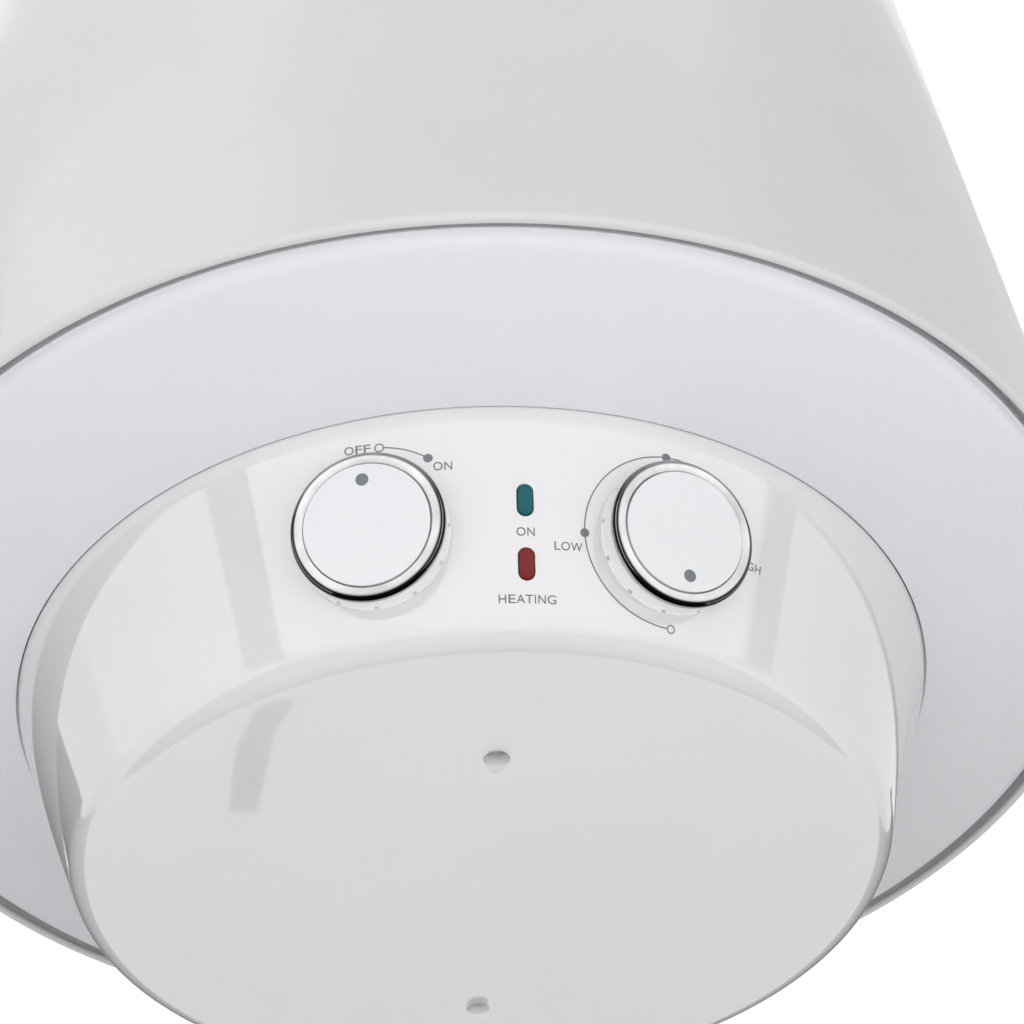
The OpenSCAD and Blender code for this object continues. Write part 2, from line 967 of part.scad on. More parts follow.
module terminal_block() {
    low = plate_low_z - terminal_h;
    color([0.9, 0.9, 0.85])
        placed()
            translate([side_x, 0, 0])
                difference() {
                    translate([-terminal_half[0], -terminal_half[1], low])
                        cube([2 * terminal_half[0], 2 * terminal_half[1], terminal_h]);
                    for (way = terminal_ways, x = [-1, 1])
                        translate([x * terminal_half[0] / 2, way * terminal_pitch, 0])
                            rod(terminal_screw_r, low - cut, low + terminal_screw_sink);
                    for (way = terminal_ways)
                        translate([-terminal_half[0] - cut, way * terminal_pitch, low + terminal_h / 2])
                            rotate([0, 90, 0])
                                cylinder(r = terminal_wire_r, h = 2 * terminal_half[0] + 2 * cut);
                }
}

module earth_screw() {
    color(brass)
        placed()
            translate(earth_at) {
                rod(earth_head_r, plate_low_z - earth_head_h, plate_low_z);
                rod(earth_d / 2, plate_low_z - fit, gasket_low_z);
            }
}

module thermal_cutout() {
    low = plate_low_z - cutout_h;
    color(dark)
        placed()
            translate([-side_x, 0, 0])
                difference() {
                    union() {
                        translate([-cutout_half[0], -cutout_half[1], low + cutout_nose_h])
                            cube([2 * cutout_half[0], 2 * cutout_half[1], cutout_h - cutout_nose_h]);
                        rod(cutout_nose_r, low, low + cutout_nose_h + cut);
                    }
                    rod(button_d / 2 + clear, low - cut, low + button_in + button_travel + clear);
                }
}

module reset_button() {
    low = plate_low_z - cutout_h;
    color([0.8, 0.1, 0.1])
        placed()
            translate([-side_x, 0, 0])
                rod(button_d / 2, low - button_out, low + button_in);
}

// Controls behind the cover's wall, in the knob's frame
module control_block(size) {
    back = -pad_depth - plate_t;
    difference() {
        union() {
            rod(bush_r, -pad_depth - plate_t, -bush_out);
            rounded_block([size[0], control_tab_w, plate_t], back);
            rounded_block(size, back - size[2]);
            for (x = [-1, 1], y = [-1, 1])
                translate([x * size[0] / 4 - blade[0] / 2, y * size[1] / 4, back - size[2] - blade[1]])
                    cube([blade[0], blade[2], blade[1] + cut]);
        }
        rod(spindle_d / 2 + slide, spindle_low - clear, 0);
        for (x = [-1, 1])
            translate([x * control_pitch / 2, 0, 0])
                rod(control_screw_d / 2 + fit, -control_screw_in - pad_depth - clear, 0);
    }
}

module spindle_solid() {
    difference() {
        rod(spindle_d / 2, spindle_low, spindle_top);
        translate([-spindle_d, spindle_flat, skirt_low])
            cube([2 * spindle_d, spindle_d, knob_h]);
    }
}

module rotary_switch() {
    color([0.92, 0.9, 0.84])
        placed()
            on_cover(-knob_azimuth, knob_slant)
                control_block(switch_size);
}

module switch_spindle() {
    color(steel)
        placed()
            on_cover(-knob_azimuth, knob_slant)
                spindle_solid();
}

module thermostat_body() {
    color(steel)
        placed()
            on_cover(knob_azimuth, knob_slant)
                control_block(thermostat_size);
}

module thermostat_spindle() {
    color(steel)
        placed()
            on_cover(knob_azimuth, knob_slant)
                spindle_solid();
}

// The capillary leaves the middle of the thermostat's back and ends in the bulb in the pocket
module thermostat_capillary() {
    back = -pad_depth - plate_t - thermostat_size[2] - fit;
    lean = seam_r - knob_slant * sin(cover_draft);
    out_r = lean + back * cos(cover_draft);
    start = [
        out_r * sin(knob_azimuth), -out_r * cos(knob_azimuth),
        seam_z - knob_slant * cos(cover_draft) - back * sin(cover_draft),
    ];
    inward = [
        -cos(cover_draft) * sin(knob_azimuth), cos(cover_draft) * cos(knob_azimuth), sin(cover_draft),
    ];
    into_bulb = [pocket_at[0], pocket_at[1], bulb_low_z + cut];
    route = concat([start, start + capillary_out * inward], capillary_route, [into_bulb]);
    color(copper)
        placed() {
            tube_along(smooth_route(route, 3), capillary_d);
            translate(pocket_at)
                rod(bulb_d / 2, bulb_low_z, bulb_low_z + bulb_l);
        }
}

module control_screws() {
    color(steel)
        placed()
            for (side = [-1, 1])
                on_cover(side * knob_azimuth, knob_slant)
                    for (x = [-1, 1])
                        translate([x * control_pitch / 2, 0, 0]) {
                            rod(control_head_r, seat_h, seat_h + control_head_h);
                            rod(control_screw_d / 2, -control_screw_in - pad_depth, seat_h + fit);
                        }
}

// Lamps
module lens_solid() {
    intersection() {
        union() {
            translate([0, 0, -cover_t - lens_flange])
                linear_extrude(cover_t + lens_flange + lamp_proud)
                    stadium(lamp_w, lamp_l);
            translate([0, 0, -cover_t - lens_flange])
                linear_extrude(lens_flange - fit)
                    stadium(lamp_w + 2 * lens_lip, lamp_l + 2 * lens_lip);
        }
        union() {
            translate([0, 0, lamp_proud - lens_crown_r])
                rotate([90, 0, 0])
                    cylinder(r = lens_crown_r, h = 3 * lamp_l, center = true);
            translate([-lamp_l, -lamp_l, -3 * cover_t])
                cube([2 * lamp_l, 2 * lamp_l, 3 * cover_t - lens_edge]);
        }
    }
}

module power_lamp_lens() {
    color([0.1, 0.65, 0.55])
        placed()
            on_cover(0, power_lamp_slant)
                lens_solid();
}

module heating_lamp_lens() {
    color([0.85, 0.12, 0.15])
        placed()
            on_cover(0, heating_lamp_slant)
                lens_solid();
}

module lamp_housings() {
    color(dark)
        placed()
            for (slant = [power_lamp_slant, heating_lamp_slant])
                on_cover(0, slant)
                    translate([-lamp_body[0] / 2, -lamp_body[1] / 2, -cover_t - lens_flange - lamp_body[2]])
                        cube(lamp_body);
}

// Knobs
module knob_solid() {
    difference() {
        rotate_extrude()
            polygon([
                [0, knob_top],
                [knob_cap_d / 2, knob_top],
                [knob_cap_d / 2, skirt_top],
                [skirt_d / 2 - skirt_step - skirt_lean, skirt_top],
                [skirt_d / 2 - skirt_step, skirt_low + skirt_taper],
                [skirt_d / 2, skirt_low + skirt_taper / 2],
                [skirt_d / 2, skirt_low],
                [hollow_r, skirt_low],
                [hollow_r, knob_top - knob_roof],
                [hub_r, knob_top - knob_roof],
                [hub_r, skirt_low],
                [0, skirt_low],
            ]);
        intersection() {
            rod(spindle_d / 2 + slide, skirt_low - cut, spindle_top + clear);
            translate([-spindle_d, -spindle_d, 0])
                cube([2 * spindle_d, spindle_d + spindle_flat + slide, knob_h]);
        }
        around(notch_count, notch_turn)
            translate([skirt_d / 2 - notch[1] / 2, -notch[0] / 2, skirt_low - notch[2]])
                cube([notch[1], notch[0], 2 * notch[2]]);
    }
}

module ring_solid() {
    inner = knob_cap_d / 2 + ring_gap;
    bead = ring_wall / 2;
    rotate_extrude()
        union() {
            translate([inner, skirt_top])
                square(bead);
            translate([inner + bead, ring_top - bead])
                circle(r = bead);
        }
}

module knob_cap_solid() {
    rotate_extrude()
        union() {
            polygon([
                [0, knob_top],
                [knob_cap_d / 2, knob_top],
                [knob_cap_d / 2, knob_h - knob_edge],
                [knob_cap_d / 2 - knob_edge, knob_h - knob_edge],
                [knob_cap_d / 2 - knob_edge, knob_h],
                [0, knob_h],
            ]);
            translate([knob_cap_d / 2 - knob_edge, knob_h - knob_edge])
                circle(r = knob_edge);
        }
}

module power_knob() {
    color(white)
        placed()
            on_cover(-knob_azimuth, knob_slant)
                knob_solid();
}

module power_knob_ring() {
    color(chrome)
        placed()
            on_cover(-knob_azimuth, knob_slant)
                ring_solid();
}

module power_knob_cap() {
    color(white)
        placed()
            on_cover(-knob_azimuth, knob_slant)
                knob_cap_solid();
}

module thermostat_knob() {
    color(white)
        placed()
            on_cover(knob_azimuth, knob_slant)
                knob_solid();
}

module thermostat_knob_ring() {
    color(chrome)
        placed()
            on_cover(knob_azimuth, knob_slant)
                ring_solid();
}

module thermostat_knob_cap() {
    color(white)
        placed()
            on_cover(knob_azimuth, knob_slant)
                knob_cap_solid();
}

outer_jacket();
top_cap();
bottom_cap();
control_cover();
cover_screws();
cover_brackets();
wall_bracket();
wall_spacer();
tank_shell();
tank_top_dome();
tank_bottom_dome();
foam_insulation();
flange_collar();
flange_gasket();
flange_plate();
flange_bolts();
heating_element();
element_terminals();
sensor_pocket();
magnesium_anode();
anode_nut();
cold_inlet_pipe();
hot_outlet_pipe();
inlet_diffuser();
hot_riser_tube();
cold_marker_ring();
hot_marker_ring();
cord_gland();
gland_nut();
terminal_block();
earth_screw();
thermal_cutout();
reset_button();
rotary_switch();
switch_spindle();
thermostat_body();
thermostat_spindle();
thermostat_capillary();
control_screws();
power_lamp_lens();
heating_lamp_lens();
lamp_housings();
power_knob();
power_knob_ring();
power_knob_cap();
thermostat_knob();
thermostat_knob_ring();
thermostat_knob_cap();
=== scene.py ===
import json
import math

import bmesh
import bpy
from mathutils import Matrix, Vector


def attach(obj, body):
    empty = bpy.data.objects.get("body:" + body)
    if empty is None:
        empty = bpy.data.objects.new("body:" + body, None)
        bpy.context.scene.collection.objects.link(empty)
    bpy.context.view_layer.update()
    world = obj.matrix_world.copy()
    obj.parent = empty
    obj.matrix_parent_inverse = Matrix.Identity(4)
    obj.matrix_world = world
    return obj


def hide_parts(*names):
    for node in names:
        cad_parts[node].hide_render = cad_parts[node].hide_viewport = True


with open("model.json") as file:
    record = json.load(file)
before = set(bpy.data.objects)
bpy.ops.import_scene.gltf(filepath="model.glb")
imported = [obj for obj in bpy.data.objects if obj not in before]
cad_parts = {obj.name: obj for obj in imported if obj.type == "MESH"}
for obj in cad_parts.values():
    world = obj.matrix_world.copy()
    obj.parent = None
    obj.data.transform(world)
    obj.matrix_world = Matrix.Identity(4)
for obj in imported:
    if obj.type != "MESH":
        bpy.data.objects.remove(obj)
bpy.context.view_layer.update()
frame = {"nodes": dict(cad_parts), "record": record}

# Sizes are millimetres in the heater's own frame: its axis is Z, and z = 0 is the jacket's lower edge
MM = 0.001
AXIS_Y = -240.0
BASE_Z = -380.0
HEATER = Matrix.Translation((0, AXIS_Y * MM, BASE_Z * MM)) @ Matrix.Scale(MM, 4)
JACKET_R = 225.0
JACKET_H = 500.0
BEAD_R = 1.5
EDGE_IN = 0.8
JACKET_T = 1.0
CAP_R = 221.5
CAP_T = 2.5
SPIGOT_H = 18.0
TOP_RISE = 18.0
TOP_SHOULDER = 1.0
TOP_SHOULDER_IN = 0.3
CAP_LOW = 0.2
CAP_EDGE = 7.0
CAP_GROOVE = 2.2
GROOVE_LOW = 8.0
GROOVE_HIGH = 9.0
EDGE_ROUND = 0.4
CORNER_ROUND = 0.5
SEAM_R = 160.4
SEAM_Z = -7.0
SEAM_GAP = 0.28
COLLAR_H = 15.0
COVER_LOW = -73.5
COVER_FILLET = 10.0
COVER_T = 2.5
RIM_H = 10.0
DRAFT = math.radians(21.3)
KNOB_AZIMUTH = 17.0
KNOB_SLANT = 37.2
PIPE_AT = (50.0, 170.52)
PIPE_LOW = -51.5
PIPE_TOP = 101.77
PIPE_BORE_R = 7.5
PIPE_R = 10.0
PIPE_HOLE_R = 10.3
THREAD_L = 20.0
THREAD_TURNS = 10.2
THREAD_ROOT_R = 9.3
THREAD_MIDDLE_R = 9.82
THREAD_DEPTH = 1.3
MARKER_R = 14.5
MARKER_LOW = -12.5
PAD_R = 15.5
PAD_LOW = -9.5
PAD_TOP = 3.0
GLAND_Y = 180.7
GLAND_HOLE_R = 8.1
ROUND_STEPS = 384


# Node tree helpers
def add(tree, kind, wires, **settings):
    """One node: wires gives its inputs, each a socket to link or a value to set."""
    made = tree.nodes.new(kind)
    for name, value in settings.items():
        setattr(made, name, value)
    for key, value in wires.items():
        if isinstance(value, bpy.types.NodeSocket):
            tree.links.new(value, made.inputs[key])
        else:
            made.inputs[key].default_value = value
    return made


def shape_tree(name, inputs):
    """A Geometry Nodes tree with a mesh input, the named inputs and one mesh output."""
    tree = bpy.data.node_groups.new(name, "GeometryNodeTree")
    tree.interface.new_socket("Geometry", in_out="INPUT", socket_type="NodeSocketGeometry")
    for label, kind, value in inputs:
        made = tree.interface.new_socket(label, in_out="INPUT", socket_type="NodeSocket" + kind)
        if value is not None:
            made.default_value = value
    tree.interface.new_socket("Material", in_out="INPUT", socket_type="NodeSocketMaterial")
    tree.interface.new_socket("Geometry", in_out="OUTPUT", socket_type="NodeSocketGeometry")
    return tree, tree.nodes.new("NodeGroupInput").outputs


def close_tree(tree, mesh, material):
    """Ends a tree in Realize Instances and Set Material."""
    whole = add(tree, "GeometryNodeRealizeInstances", {"Geometry": mesh})
    painted = add(tree, "GeometryNodeSetMaterial", {"Geometry": whole.outputs[0], "Material": material})
    add(tree, "NodeGroupOutput", {0: painted.outputs[0]})


def grown(tree, material, base=None, **values):
    """The plain mesh that a tree makes from base, with the tree's inputs set by name."""
    holder = bpy.data.objects.new("holder", base or bpy.data.meshes.new("holder"))
    bpy.context.scene.collection.objects.link(holder)
    modifier = holder.modifiers.new("tree", "NODES")
    modifier.node_group = tree
    for item in tree.interface.items_tree:
        label = item.name.replace(" ", "_").lower()
        if item.in_out == "INPUT" and label in values:
            modifier[item.identifier] = values[label]
        if item.in_out == "INPUT" and label == "material":
            modifier[item.identifier] = material
    return plain(holder)


def plain(holder):
    """The evaluated mesh of a working object, which is then removed."""
    view = bpy.context.evaluated_depsgraph_get()
    mesh = bpy.data.meshes.new_from_object(holder.evaluated_get(view))
    bpy.data.objects.remove(holder)
    return mesh


# Shape trees
def turned_tree():
    """Turns the base mesh's outline, drawn as (radius less the path's, -height), round the Z axis."""
    tree, given = shape_tree("turned_shell", [("Steps", "Int", ROUND_STEPS), ("Path Radius", "Float", 100.0)])
    outline = add(tree, "GeometryNodeMeshToCurve", {"Mesh": given["Geometry"]})
    path = add(tree, "GeometryNodeCurvePrimitiveCircle", {
        "Resolution": given["Steps"], "Radius": given["Path Radius"]})
    swept = add(tree, "GeometryNodeCurveToMesh", {
        "Curve": path.outputs["Curve"], "Profile Curve": outline.outputs["Curve"]})
    merged = add(tree, "GeometryNodeMergeByDistance", {"Geometry": swept.outputs["Mesh"], "Distance": 0.0005})
    close_tree(tree, merged.outputs[0], given["Material"])
    return tree


def notched_tree():
    """Cuts a ring of drain notches into the lower edge of a knob's skirt."""
    tree, given = shape_tree("drain_notches", [
        ("Count", "Int", 12), ("Radius", "Float", 22.4), ("Height", "Float", 0.7), ("First", "Float", 0.0),
        ("Notch", "Vector", (2, 1.2, 1.4))])
    ring = add(tree, "GeometryNodeMeshCircle", {"Vertices": given["Count"], "Radius": given["Radius"]})
    raised = add(tree, "ShaderNodeCombineXYZ", {"Z": given["Height"]})
    lifted = add(tree, "GeometryNodeSetPosition", {"Geometry": ring.outputs[0], "Offset": raised.outputs[0]})
    index = add(tree, "GeometryNodeInputIndex", {})
    share = add(tree, "ShaderNodeMath", {0: index.outputs[0], 1: given["Count"]}, operation="DIVIDE")
    angle = add(tree, "ShaderNodeMath", {0: share.outputs[0], 1: math.tau}, operation="MULTIPLY")
    turn = add(tree, "ShaderNodeCombineXYZ", {"Z": angle.outputs[0]})
    block = add(tree, "GeometryNodeMeshCube", {"Size": given["Notch"]})
    blocks = add(tree, "GeometryNodeInstanceOnPoints", {
        "Points": lifted.outputs[0], "Instance": block.outputs[0], "Rotation": turn.outputs[0]})
    first = add(tree, "ShaderNodeCombineXYZ", {"Z": given["First"]})
    spun = add(tree, "GeometryNodeTransform", {"Geometry": blocks.outputs[0], "Rotation": first.outputs[0]})
    loose = add(tree, "GeometryNodeRealizeInstances", {"Geometry": spun.outputs[0]})
    cut = add(tree, "GeometryNodeMeshBoolean", {
        "Mesh 1": given["Geometry"], "Mesh 2": loose.outputs[0]}, operation="DIFFERENCE", solver="EXACT")
    close_tree(tree, cut.outputs[0], given["Material"])
    return tree


def thread_tree():
    """A pipe thread: one ridge wound up a pipe's end."""
    tree, given = shape_tree("pipe_thread", [
        ("Turns", "Float", 10.0), ("Length", "Float", 18.0), ("Middle Radius", "Float", 9.8),
        ("Root", "Float", 1.6), ("Crest", "Float", 0.3), ("Depth", "Float", 1.3)])
    winding = add(tree, "GeometryNodeCurveSpiral", {
        "Resolution": 40, "Rotations": given["Turns"], "Start Radius": given["Middle Radius"],
        "End Radius": given["Middle Radius"], "Height": given["Length"]})
    ridge = add(tree, "GeometryNodeCurvePrimitiveQuadrilateral", {
        "Bottom Width": given["Root"], "Top Width": given["Crest"], "Height": given["Depth"], "Offset": 0.0},
        mode="TRAPEZOID")
    outward = add(tree, "GeometryNodeTransform", {
        "Geometry": ridge.outputs[0], "Rotation": (0, 0, math.radians(-90))})
    wound = add(tree, "GeometryNodeCurveToMesh", {
        "Curve": winding.outputs[0], "Profile Curve": outward.outputs[0], "Fill Caps": True})
    threaded = add(tree, "GeometryNodeJoinGeometry", {0: wound.outputs[0]})
    tree.links.new(given["Geometry"], threaded.inputs[0])
    close_tree(tree, threaded.outputs[0], given["Material"])
    return tree


def cross_screw_tree():
    """Cross-recessed screw heads, facing down, on a ring round the heater's axis."""
    tree, given = shape_tree("cross_screws", [
        ("Count", "Int", 2), ("Ring", "Float", 74.0), ("First", "Float", 0.0), ("Height", "Float", -67.0),
        ("Slot", "Vector", (0.8, 3.0, 1.8))])
    index = add(tree, "GeometryNodeInputIndex", {})
    share = add(tree, "ShaderNodeMath", {0: index.outputs[0], 1: given["Count"]}, operation="DIVIDE")
    angle = add(tree, "ShaderNodeMath", {
        0: share.outputs[0], 1: math.tau, 2: given["First"]}, operation="MULTIPLY_ADD")
    spin = add(tree, "ShaderNodeCombineXYZ", {"Z": angle.outputs[0]})
    away = add(tree, "ShaderNodeMath", {0: given["Ring"], 1: -1.0}, operation="MULTIPLY")
    spot = add(tree, "ShaderNodeCombineXYZ", {"Y": away.outputs[0], "Z": given["Height"]})
    bar = add(tree, "GeometryNodeMeshCube", {"Size": given["Slot"]})
    crossbar = add(tree, "GeometryNodeTransform", {
        "Geometry": bar.outputs[0], "Rotation": (0, 0, math.radians(90))})
    bars = add(tree, "GeometryNodeJoinGeometry", {0: bar.outputs[0]})
    tree.links.new(crossbar.outputs[0], bars.inputs[0])
    head = add(tree, "GeometryNodeMeshBoolean", {
        "Mesh 1": given["Geometry"], "Mesh 2": bars.outputs[0]}, operation="DIFFERENCE", solver="EXACT")
    out = add(tree, "GeometryNodeTransform", {"Geometry": head.outputs[0], "Translation": spot.outputs[0]})
    centre = add(tree, "GeometryNodePoints", {"Count": given["Count"]})
    screws = add(tree, "GeometryNodeInstanceOnPoints", {
        "Points": centre.outputs[0], "Instance": out.outputs[0], "Rotation": spin.outputs[0]})
    close_tree(tree, screws.outputs[0], given["Material"])
    return tree


def scale_tree():
    """A printed dial scale, flat on XY: an arc, solid dots along it and one hollow dot where it starts."""
    tree, given = shape_tree("dial_scale", [
        ("Radius", "Float", 27.0), ("Start", "Float", 0.0), ("Sweep", "Float", -1.0), ("Line", "Float", 0.38),
        ("Ink", "Float", 0.1), ("Hollow", "Float", 1.2), ("Dot", "Float", 1.35)])
    gap = add(tree, "ShaderNodeMath", {0: given["Hollow"], 1: given["Radius"]}, operation="DIVIDE")
    begin = add(tree, "ShaderNodeMath", {0: given["Start"], 1: gap.outputs[0]}, operation="SUBTRACT")
    reach = add(tree, "ShaderNodeMath", {0: given["Sweep"], 1: gap.outputs[0]}, operation="ADD")
    arc = add(tree, "GeometryNodeCurveArc", {
        "Resolution": 90, "Radius": given["Radius"], "Start Angle": begin.outputs[0],
        "Sweep Angle": reach.outputs[0]})
    stroke = add(tree, "GeometryNodeCurvePrimitiveQuadrilateral", {
        "Width": given["Line"], "Height": given["Ink"]})
    line = add(tree, "GeometryNodeCurveToMesh", {
        "Curve": arc.outputs[0], "Profile Curve": stroke.outputs[0], "Fill Caps": True})
    rim = add(tree, "GeometryNodeCurvePrimitiveCircle", {"Resolution": 40, "Radius": given["Hollow"]})
    hollow = add(tree, "GeometryNodeCurveToMesh", {
        "Curve": rim.outputs["Curve"], "Profile Curve": stroke.outputs[0]})
    across = add(tree, "ShaderNodeMath", {0: given["Start"]}, operation="COSINE")
    along = add(tree, "ShaderNodeMath", {0: given["Start"]}, operation="SINE")
    clock = add(tree, "ShaderNodeCombineXYZ", {"X": across.outputs[0], "Y": along.outputs[0]})
    spot = add(tree, "ShaderNodeVectorMath", {
        0: clock.outputs[0], "Scale": given["Radius"]}, operation="SCALE")
    placed = add(tree, "GeometryNodeTransform", {
        "Geometry": hollow.outputs[0], "Translation": spot.outputs[0]})
    dot = add(tree, "GeometryNodeMeshCylinder", {
        "Vertices": 32, "Radius": given["Dot"], "Depth": given["Ink"]})
    dots = add(tree, "GeometryNodeInstanceOnPoints", {
        "Points": given["Geometry"], "Instance": dot.outputs[0]})
    marks = add(tree, "GeometryNodeJoinGeometry", {0: line.outputs[0]})
    tree.links.new(placed.outputs[0], marks.inputs[0])
    tree.links.new(dots.outputs[0], marks.inputs[0])
    close_tree(tree, marks.outputs[0], given["Material"])
    return tree


TURNED = turned_tree()
NOTCHED = notched_tree()
THREAD = thread_tree()
CROSS_SCREWS = cross_screw_tree()
DIAL_SCALE = scale_tree()


# Finishes; the noise values are the span in which most of a noise lies
NOISE_LOW = 0.3
NOISE_HIGH = 0.7
BUMP_STRENGTH = 0.5


def shader_group(name, inputs, outputs):
    """A shader node group with named inputs and outputs."""
    tree = bpy.data.node_groups.new(name, "ShaderNodeTree")
    for label, kind, value in inputs:
        made = tree.interface.new_socket(label, in_out="INPUT", socket_type="NodeSocket" + kind)
        made.default_value = value
    for label, kind in outputs:
        tree.interface.new_socket(label, in_out="OUTPUT", socket_type="NodeSocket" + kind)
    return tree, tree.nodes.new("NodeGroupInput").outputs


def moulded_group():
    """Fine grain, faint mottling of the colour and uneven gloss, for plastics and paints."""
    tree, given = shader_group("moulded_skin", [
        ("Colour", "Color", (0.8, 0.8, 0.8, 1)), ("Mottle", "Float", 0.02), ("Mottle Scale", "Float", 12.0),
        ("Gloss Low", "Float", 0.2), ("Gloss High", "Float", 0.3), ("Grain Scale", "Float", 900.0)],
        [("Colour", "Color"), ("Roughness", "Float"), ("Height", "Float")])
    where = add(tree, "ShaderNodeTexCoord", {}).outputs["Object"]
    clouds = add(tree, "ShaderNodeTexNoise", {"Vector": where, "Scale": given["Mottle Scale"], "Detail": 3.0})
    grain = add(tree, "ShaderNodeTexNoise", {"Vector": where, "Scale": given["Grain Scale"], "Detail": 2.0})
    less = add(tree, "ShaderNodeMath", {0: 1.0, 1: given["Mottle"]}, operation="SUBTRACT")
    more = add(tree, "ShaderNodeMath", {0: 1.0, 1: given["Mottle"]}, operation="ADD")
    level = add(tree, "ShaderNodeMapRange", {
        "Value": clouds.outputs[0], "From Min": NOISE_LOW, "From Max": NOISE_HIGH,
        "To Min": less.outputs[0], "To Max": more.outputs[0]})
    shade = add(tree, "ShaderNodeVectorMath", {
        0: given["Colour"], "Scale": level.outputs[0]}, operation="SCALE")
    smear = add(tree, "ShaderNodeTexNoise", {"Vector": where, "Scale": 34.0, "Detail": 4.0, "Roughness": 0.6})
    gloss = add(tree, "ShaderNodeMapRange", {
        "Value": smear.outputs[0], "From Min": NOISE_LOW, "From Max": NOISE_HIGH,
        "To Min": given["Gloss Low"], "To Max": given["Gloss High"]})
    add(tree, "NodeGroupOutput", {
        "Colour": shade.outputs[0], "Roughness": gloss.outputs[0], "Height": grain.outputs[0]})
    return tree


def drawn_group():
    """Drawing lines along Z and cloudy plating, for metals."""
    tree, given = shader_group("drawn_metal", [
        ("Colour", "Color", (0.6, 0.6, 0.6, 1)), ("Tarnish", "Color", (0.4, 0.4, 0.4, 1)),
        ("Cloud Scale", "Float", 60.0), ("Gloss Low", "Float", 0.25), ("Gloss High", "Float", 0.45)],
        [("Colour", "Color"), ("Roughness", "Float"), ("Height", "Float")])
    where = add(tree, "ShaderNodeTexCoord", {}).outputs["Object"]
    long_way = add(tree, "ShaderNodeMapping", {"Vector": where, "Scale": (1.0, 1.0, 0.03)})
    lines = add(tree, "ShaderNodeTexNoise", {"Vector": long_way.outputs[0], "Scale": 1400.0, "Detail": 2.0})
    clouds = add(tree, "ShaderNodeTexNoise", {"Vector": where, "Scale": given["Cloud Scale"], "Detail": 5.0})
    part = add(tree, "ShaderNodeMapRange", {"Value": clouds.outputs[0], "From Min": 0.35, "From Max": 0.7})
    colour = add(tree, "ShaderNodeMix", {
        "Factor": part.outputs[0], 6: given["Colour"], 7: given["Tarnish"]}, data_type="RGBA")
    gloss = add(tree, "ShaderNodeMapRange", {
        "Value": lines.outputs[0], "From Min": NOISE_LOW, "From Max": NOISE_HIGH,
        "To Min": given["Gloss Low"], "To Max": given["Gloss High"]})
    add(tree, "NodeGroupOutput", {
        "Colour": colour.outputs[2], "Roughness": gloss.outputs[0], "Height": lines.outputs[0]})
    return tree


MOULDED = moulded_group()
DRAWN = drawn_group()


def finish(name, group, depth, values, plain_sockets):
    """A material: one of the groups above feeds its colour, gloss and relief."""
    made = bpy.data.materials.new(name)
    made.use_nodes = True
    tree = made.node_tree
    surface = tree.nodes["Principled BSDF"]
    skin = tree.nodes.new("ShaderNodeGroup")
    skin.node_tree = group
    for label, value in values.items():
        skin.inputs[label].default_value = (*value, 1) if isinstance(value, tuple) else value
    relief = add(tree, "ShaderNodeBump", {
        "Height": skin.outputs["Height"], "Strength": BUMP_STRENGTH, "Distance": depth})
    tree.links.new(skin.outputs["Colour"], surface.inputs["Base Color"])
    tree.links.new(skin.outputs["Roughness"], surface.inputs["Roughness"])
    tree.links.new(relief.outputs["Normal"], surface.inputs["Normal"])
    for label, value in plain_sockets.items():
        surface.inputs[label].default_value = value
    return made


def moulded(name, colour, low, high, grain, depth, mottle=0.015, plain_sockets=None):
    return finish(name, MOULDED, depth, {
        "Colour": colour, "Mottle": mottle, "Gloss Low": low, "Gloss High": high, "Grain Scale": grain},
        plain_sockets or {})


def metal(name, colour, tarnish, low, high, depth=0.00001):
    return finish(name, DRAWN, depth, {
        "Colour": colour, "Tarnish": tarnish, "Gloss Low": low, "Gloss High": high}, {"Metallic": 1.0})


# Painted reflection on the knobs' bright ring: the span of the flank that the dark band covers, how it fades
# round the knob, its near-black tone, and the lighter reflected line in it
DARK_REFLECTION_BEGINS = (0.1, 0.28)
DARK_REFLECTION_ENDS = (0.7, 0.86)
DARK_REFLECTION_LOWER = (0.3, 0.95)
DARK_REFLECTION_TONE = (0.015, 0.014, 0.015, 1)
REFLECTED_LINE = 0.45
REFLECTED_LINE_EDGE = (0.01, 0.06)


def painted_reflection(made):
    """Paints a dark reflection onto the flank of a bezel, most round its lower half, with one lighter
    reflected line left in it.
    """
    tree = made.node_tree
    surface = tree.nodes["Principled BSDF"]
    flank = add(tree, "ShaderNodeAttribute", {}, attribute_name="flank").outputs["Fac"]
    climb = add(tree, "ShaderNodeAttribute", {}, attribute_name="climb").outputs["Fac"]

    def ramp(value, span, first=0.0, last=1.0):
        low, high = span
        return add(tree, "ShaderNodeMapRange", {
            "Value": value, "From Min": low, "From Max": high, "To Min": first, "To Max": last}).outputs[0]

    def reckon(operation, *values):
        return add(tree, "ShaderNodeMath", dict(enumerate(values)), operation=operation).outputs[0]

    # A dark band of painted reflection down the flank, broken by one lighter line and strongest round the
    # knob's lower half
    band = reckon("MULTIPLY", ramp(flank, DARK_REFLECTION_BEGINS), ramp(flank, DARK_REFLECTION_ENDS, 1.0, 0.1))
    apart = reckon("ABSOLUTE", reckon("SUBTRACT", flank, REFLECTED_LINE))
    broken = reckon("MULTIPLY", band, ramp(apart, REFLECTED_LINE_EDGE, 0.5))
    dark = reckon("MULTIPLY", broken, ramp(climb, DARK_REFLECTION_LOWER, 1.0, 0.4))
    plated = surface.inputs["Base Color"].links[0].from_socket
    tone = add(tree, "ShaderNodeMix", {"Factor": dark, 6: plated, 7: DARK_REFLECTION_TONE}, data_type="RGBA")
    tree.links.new(tone.outputs[2], surface.inputs["Base Color"])


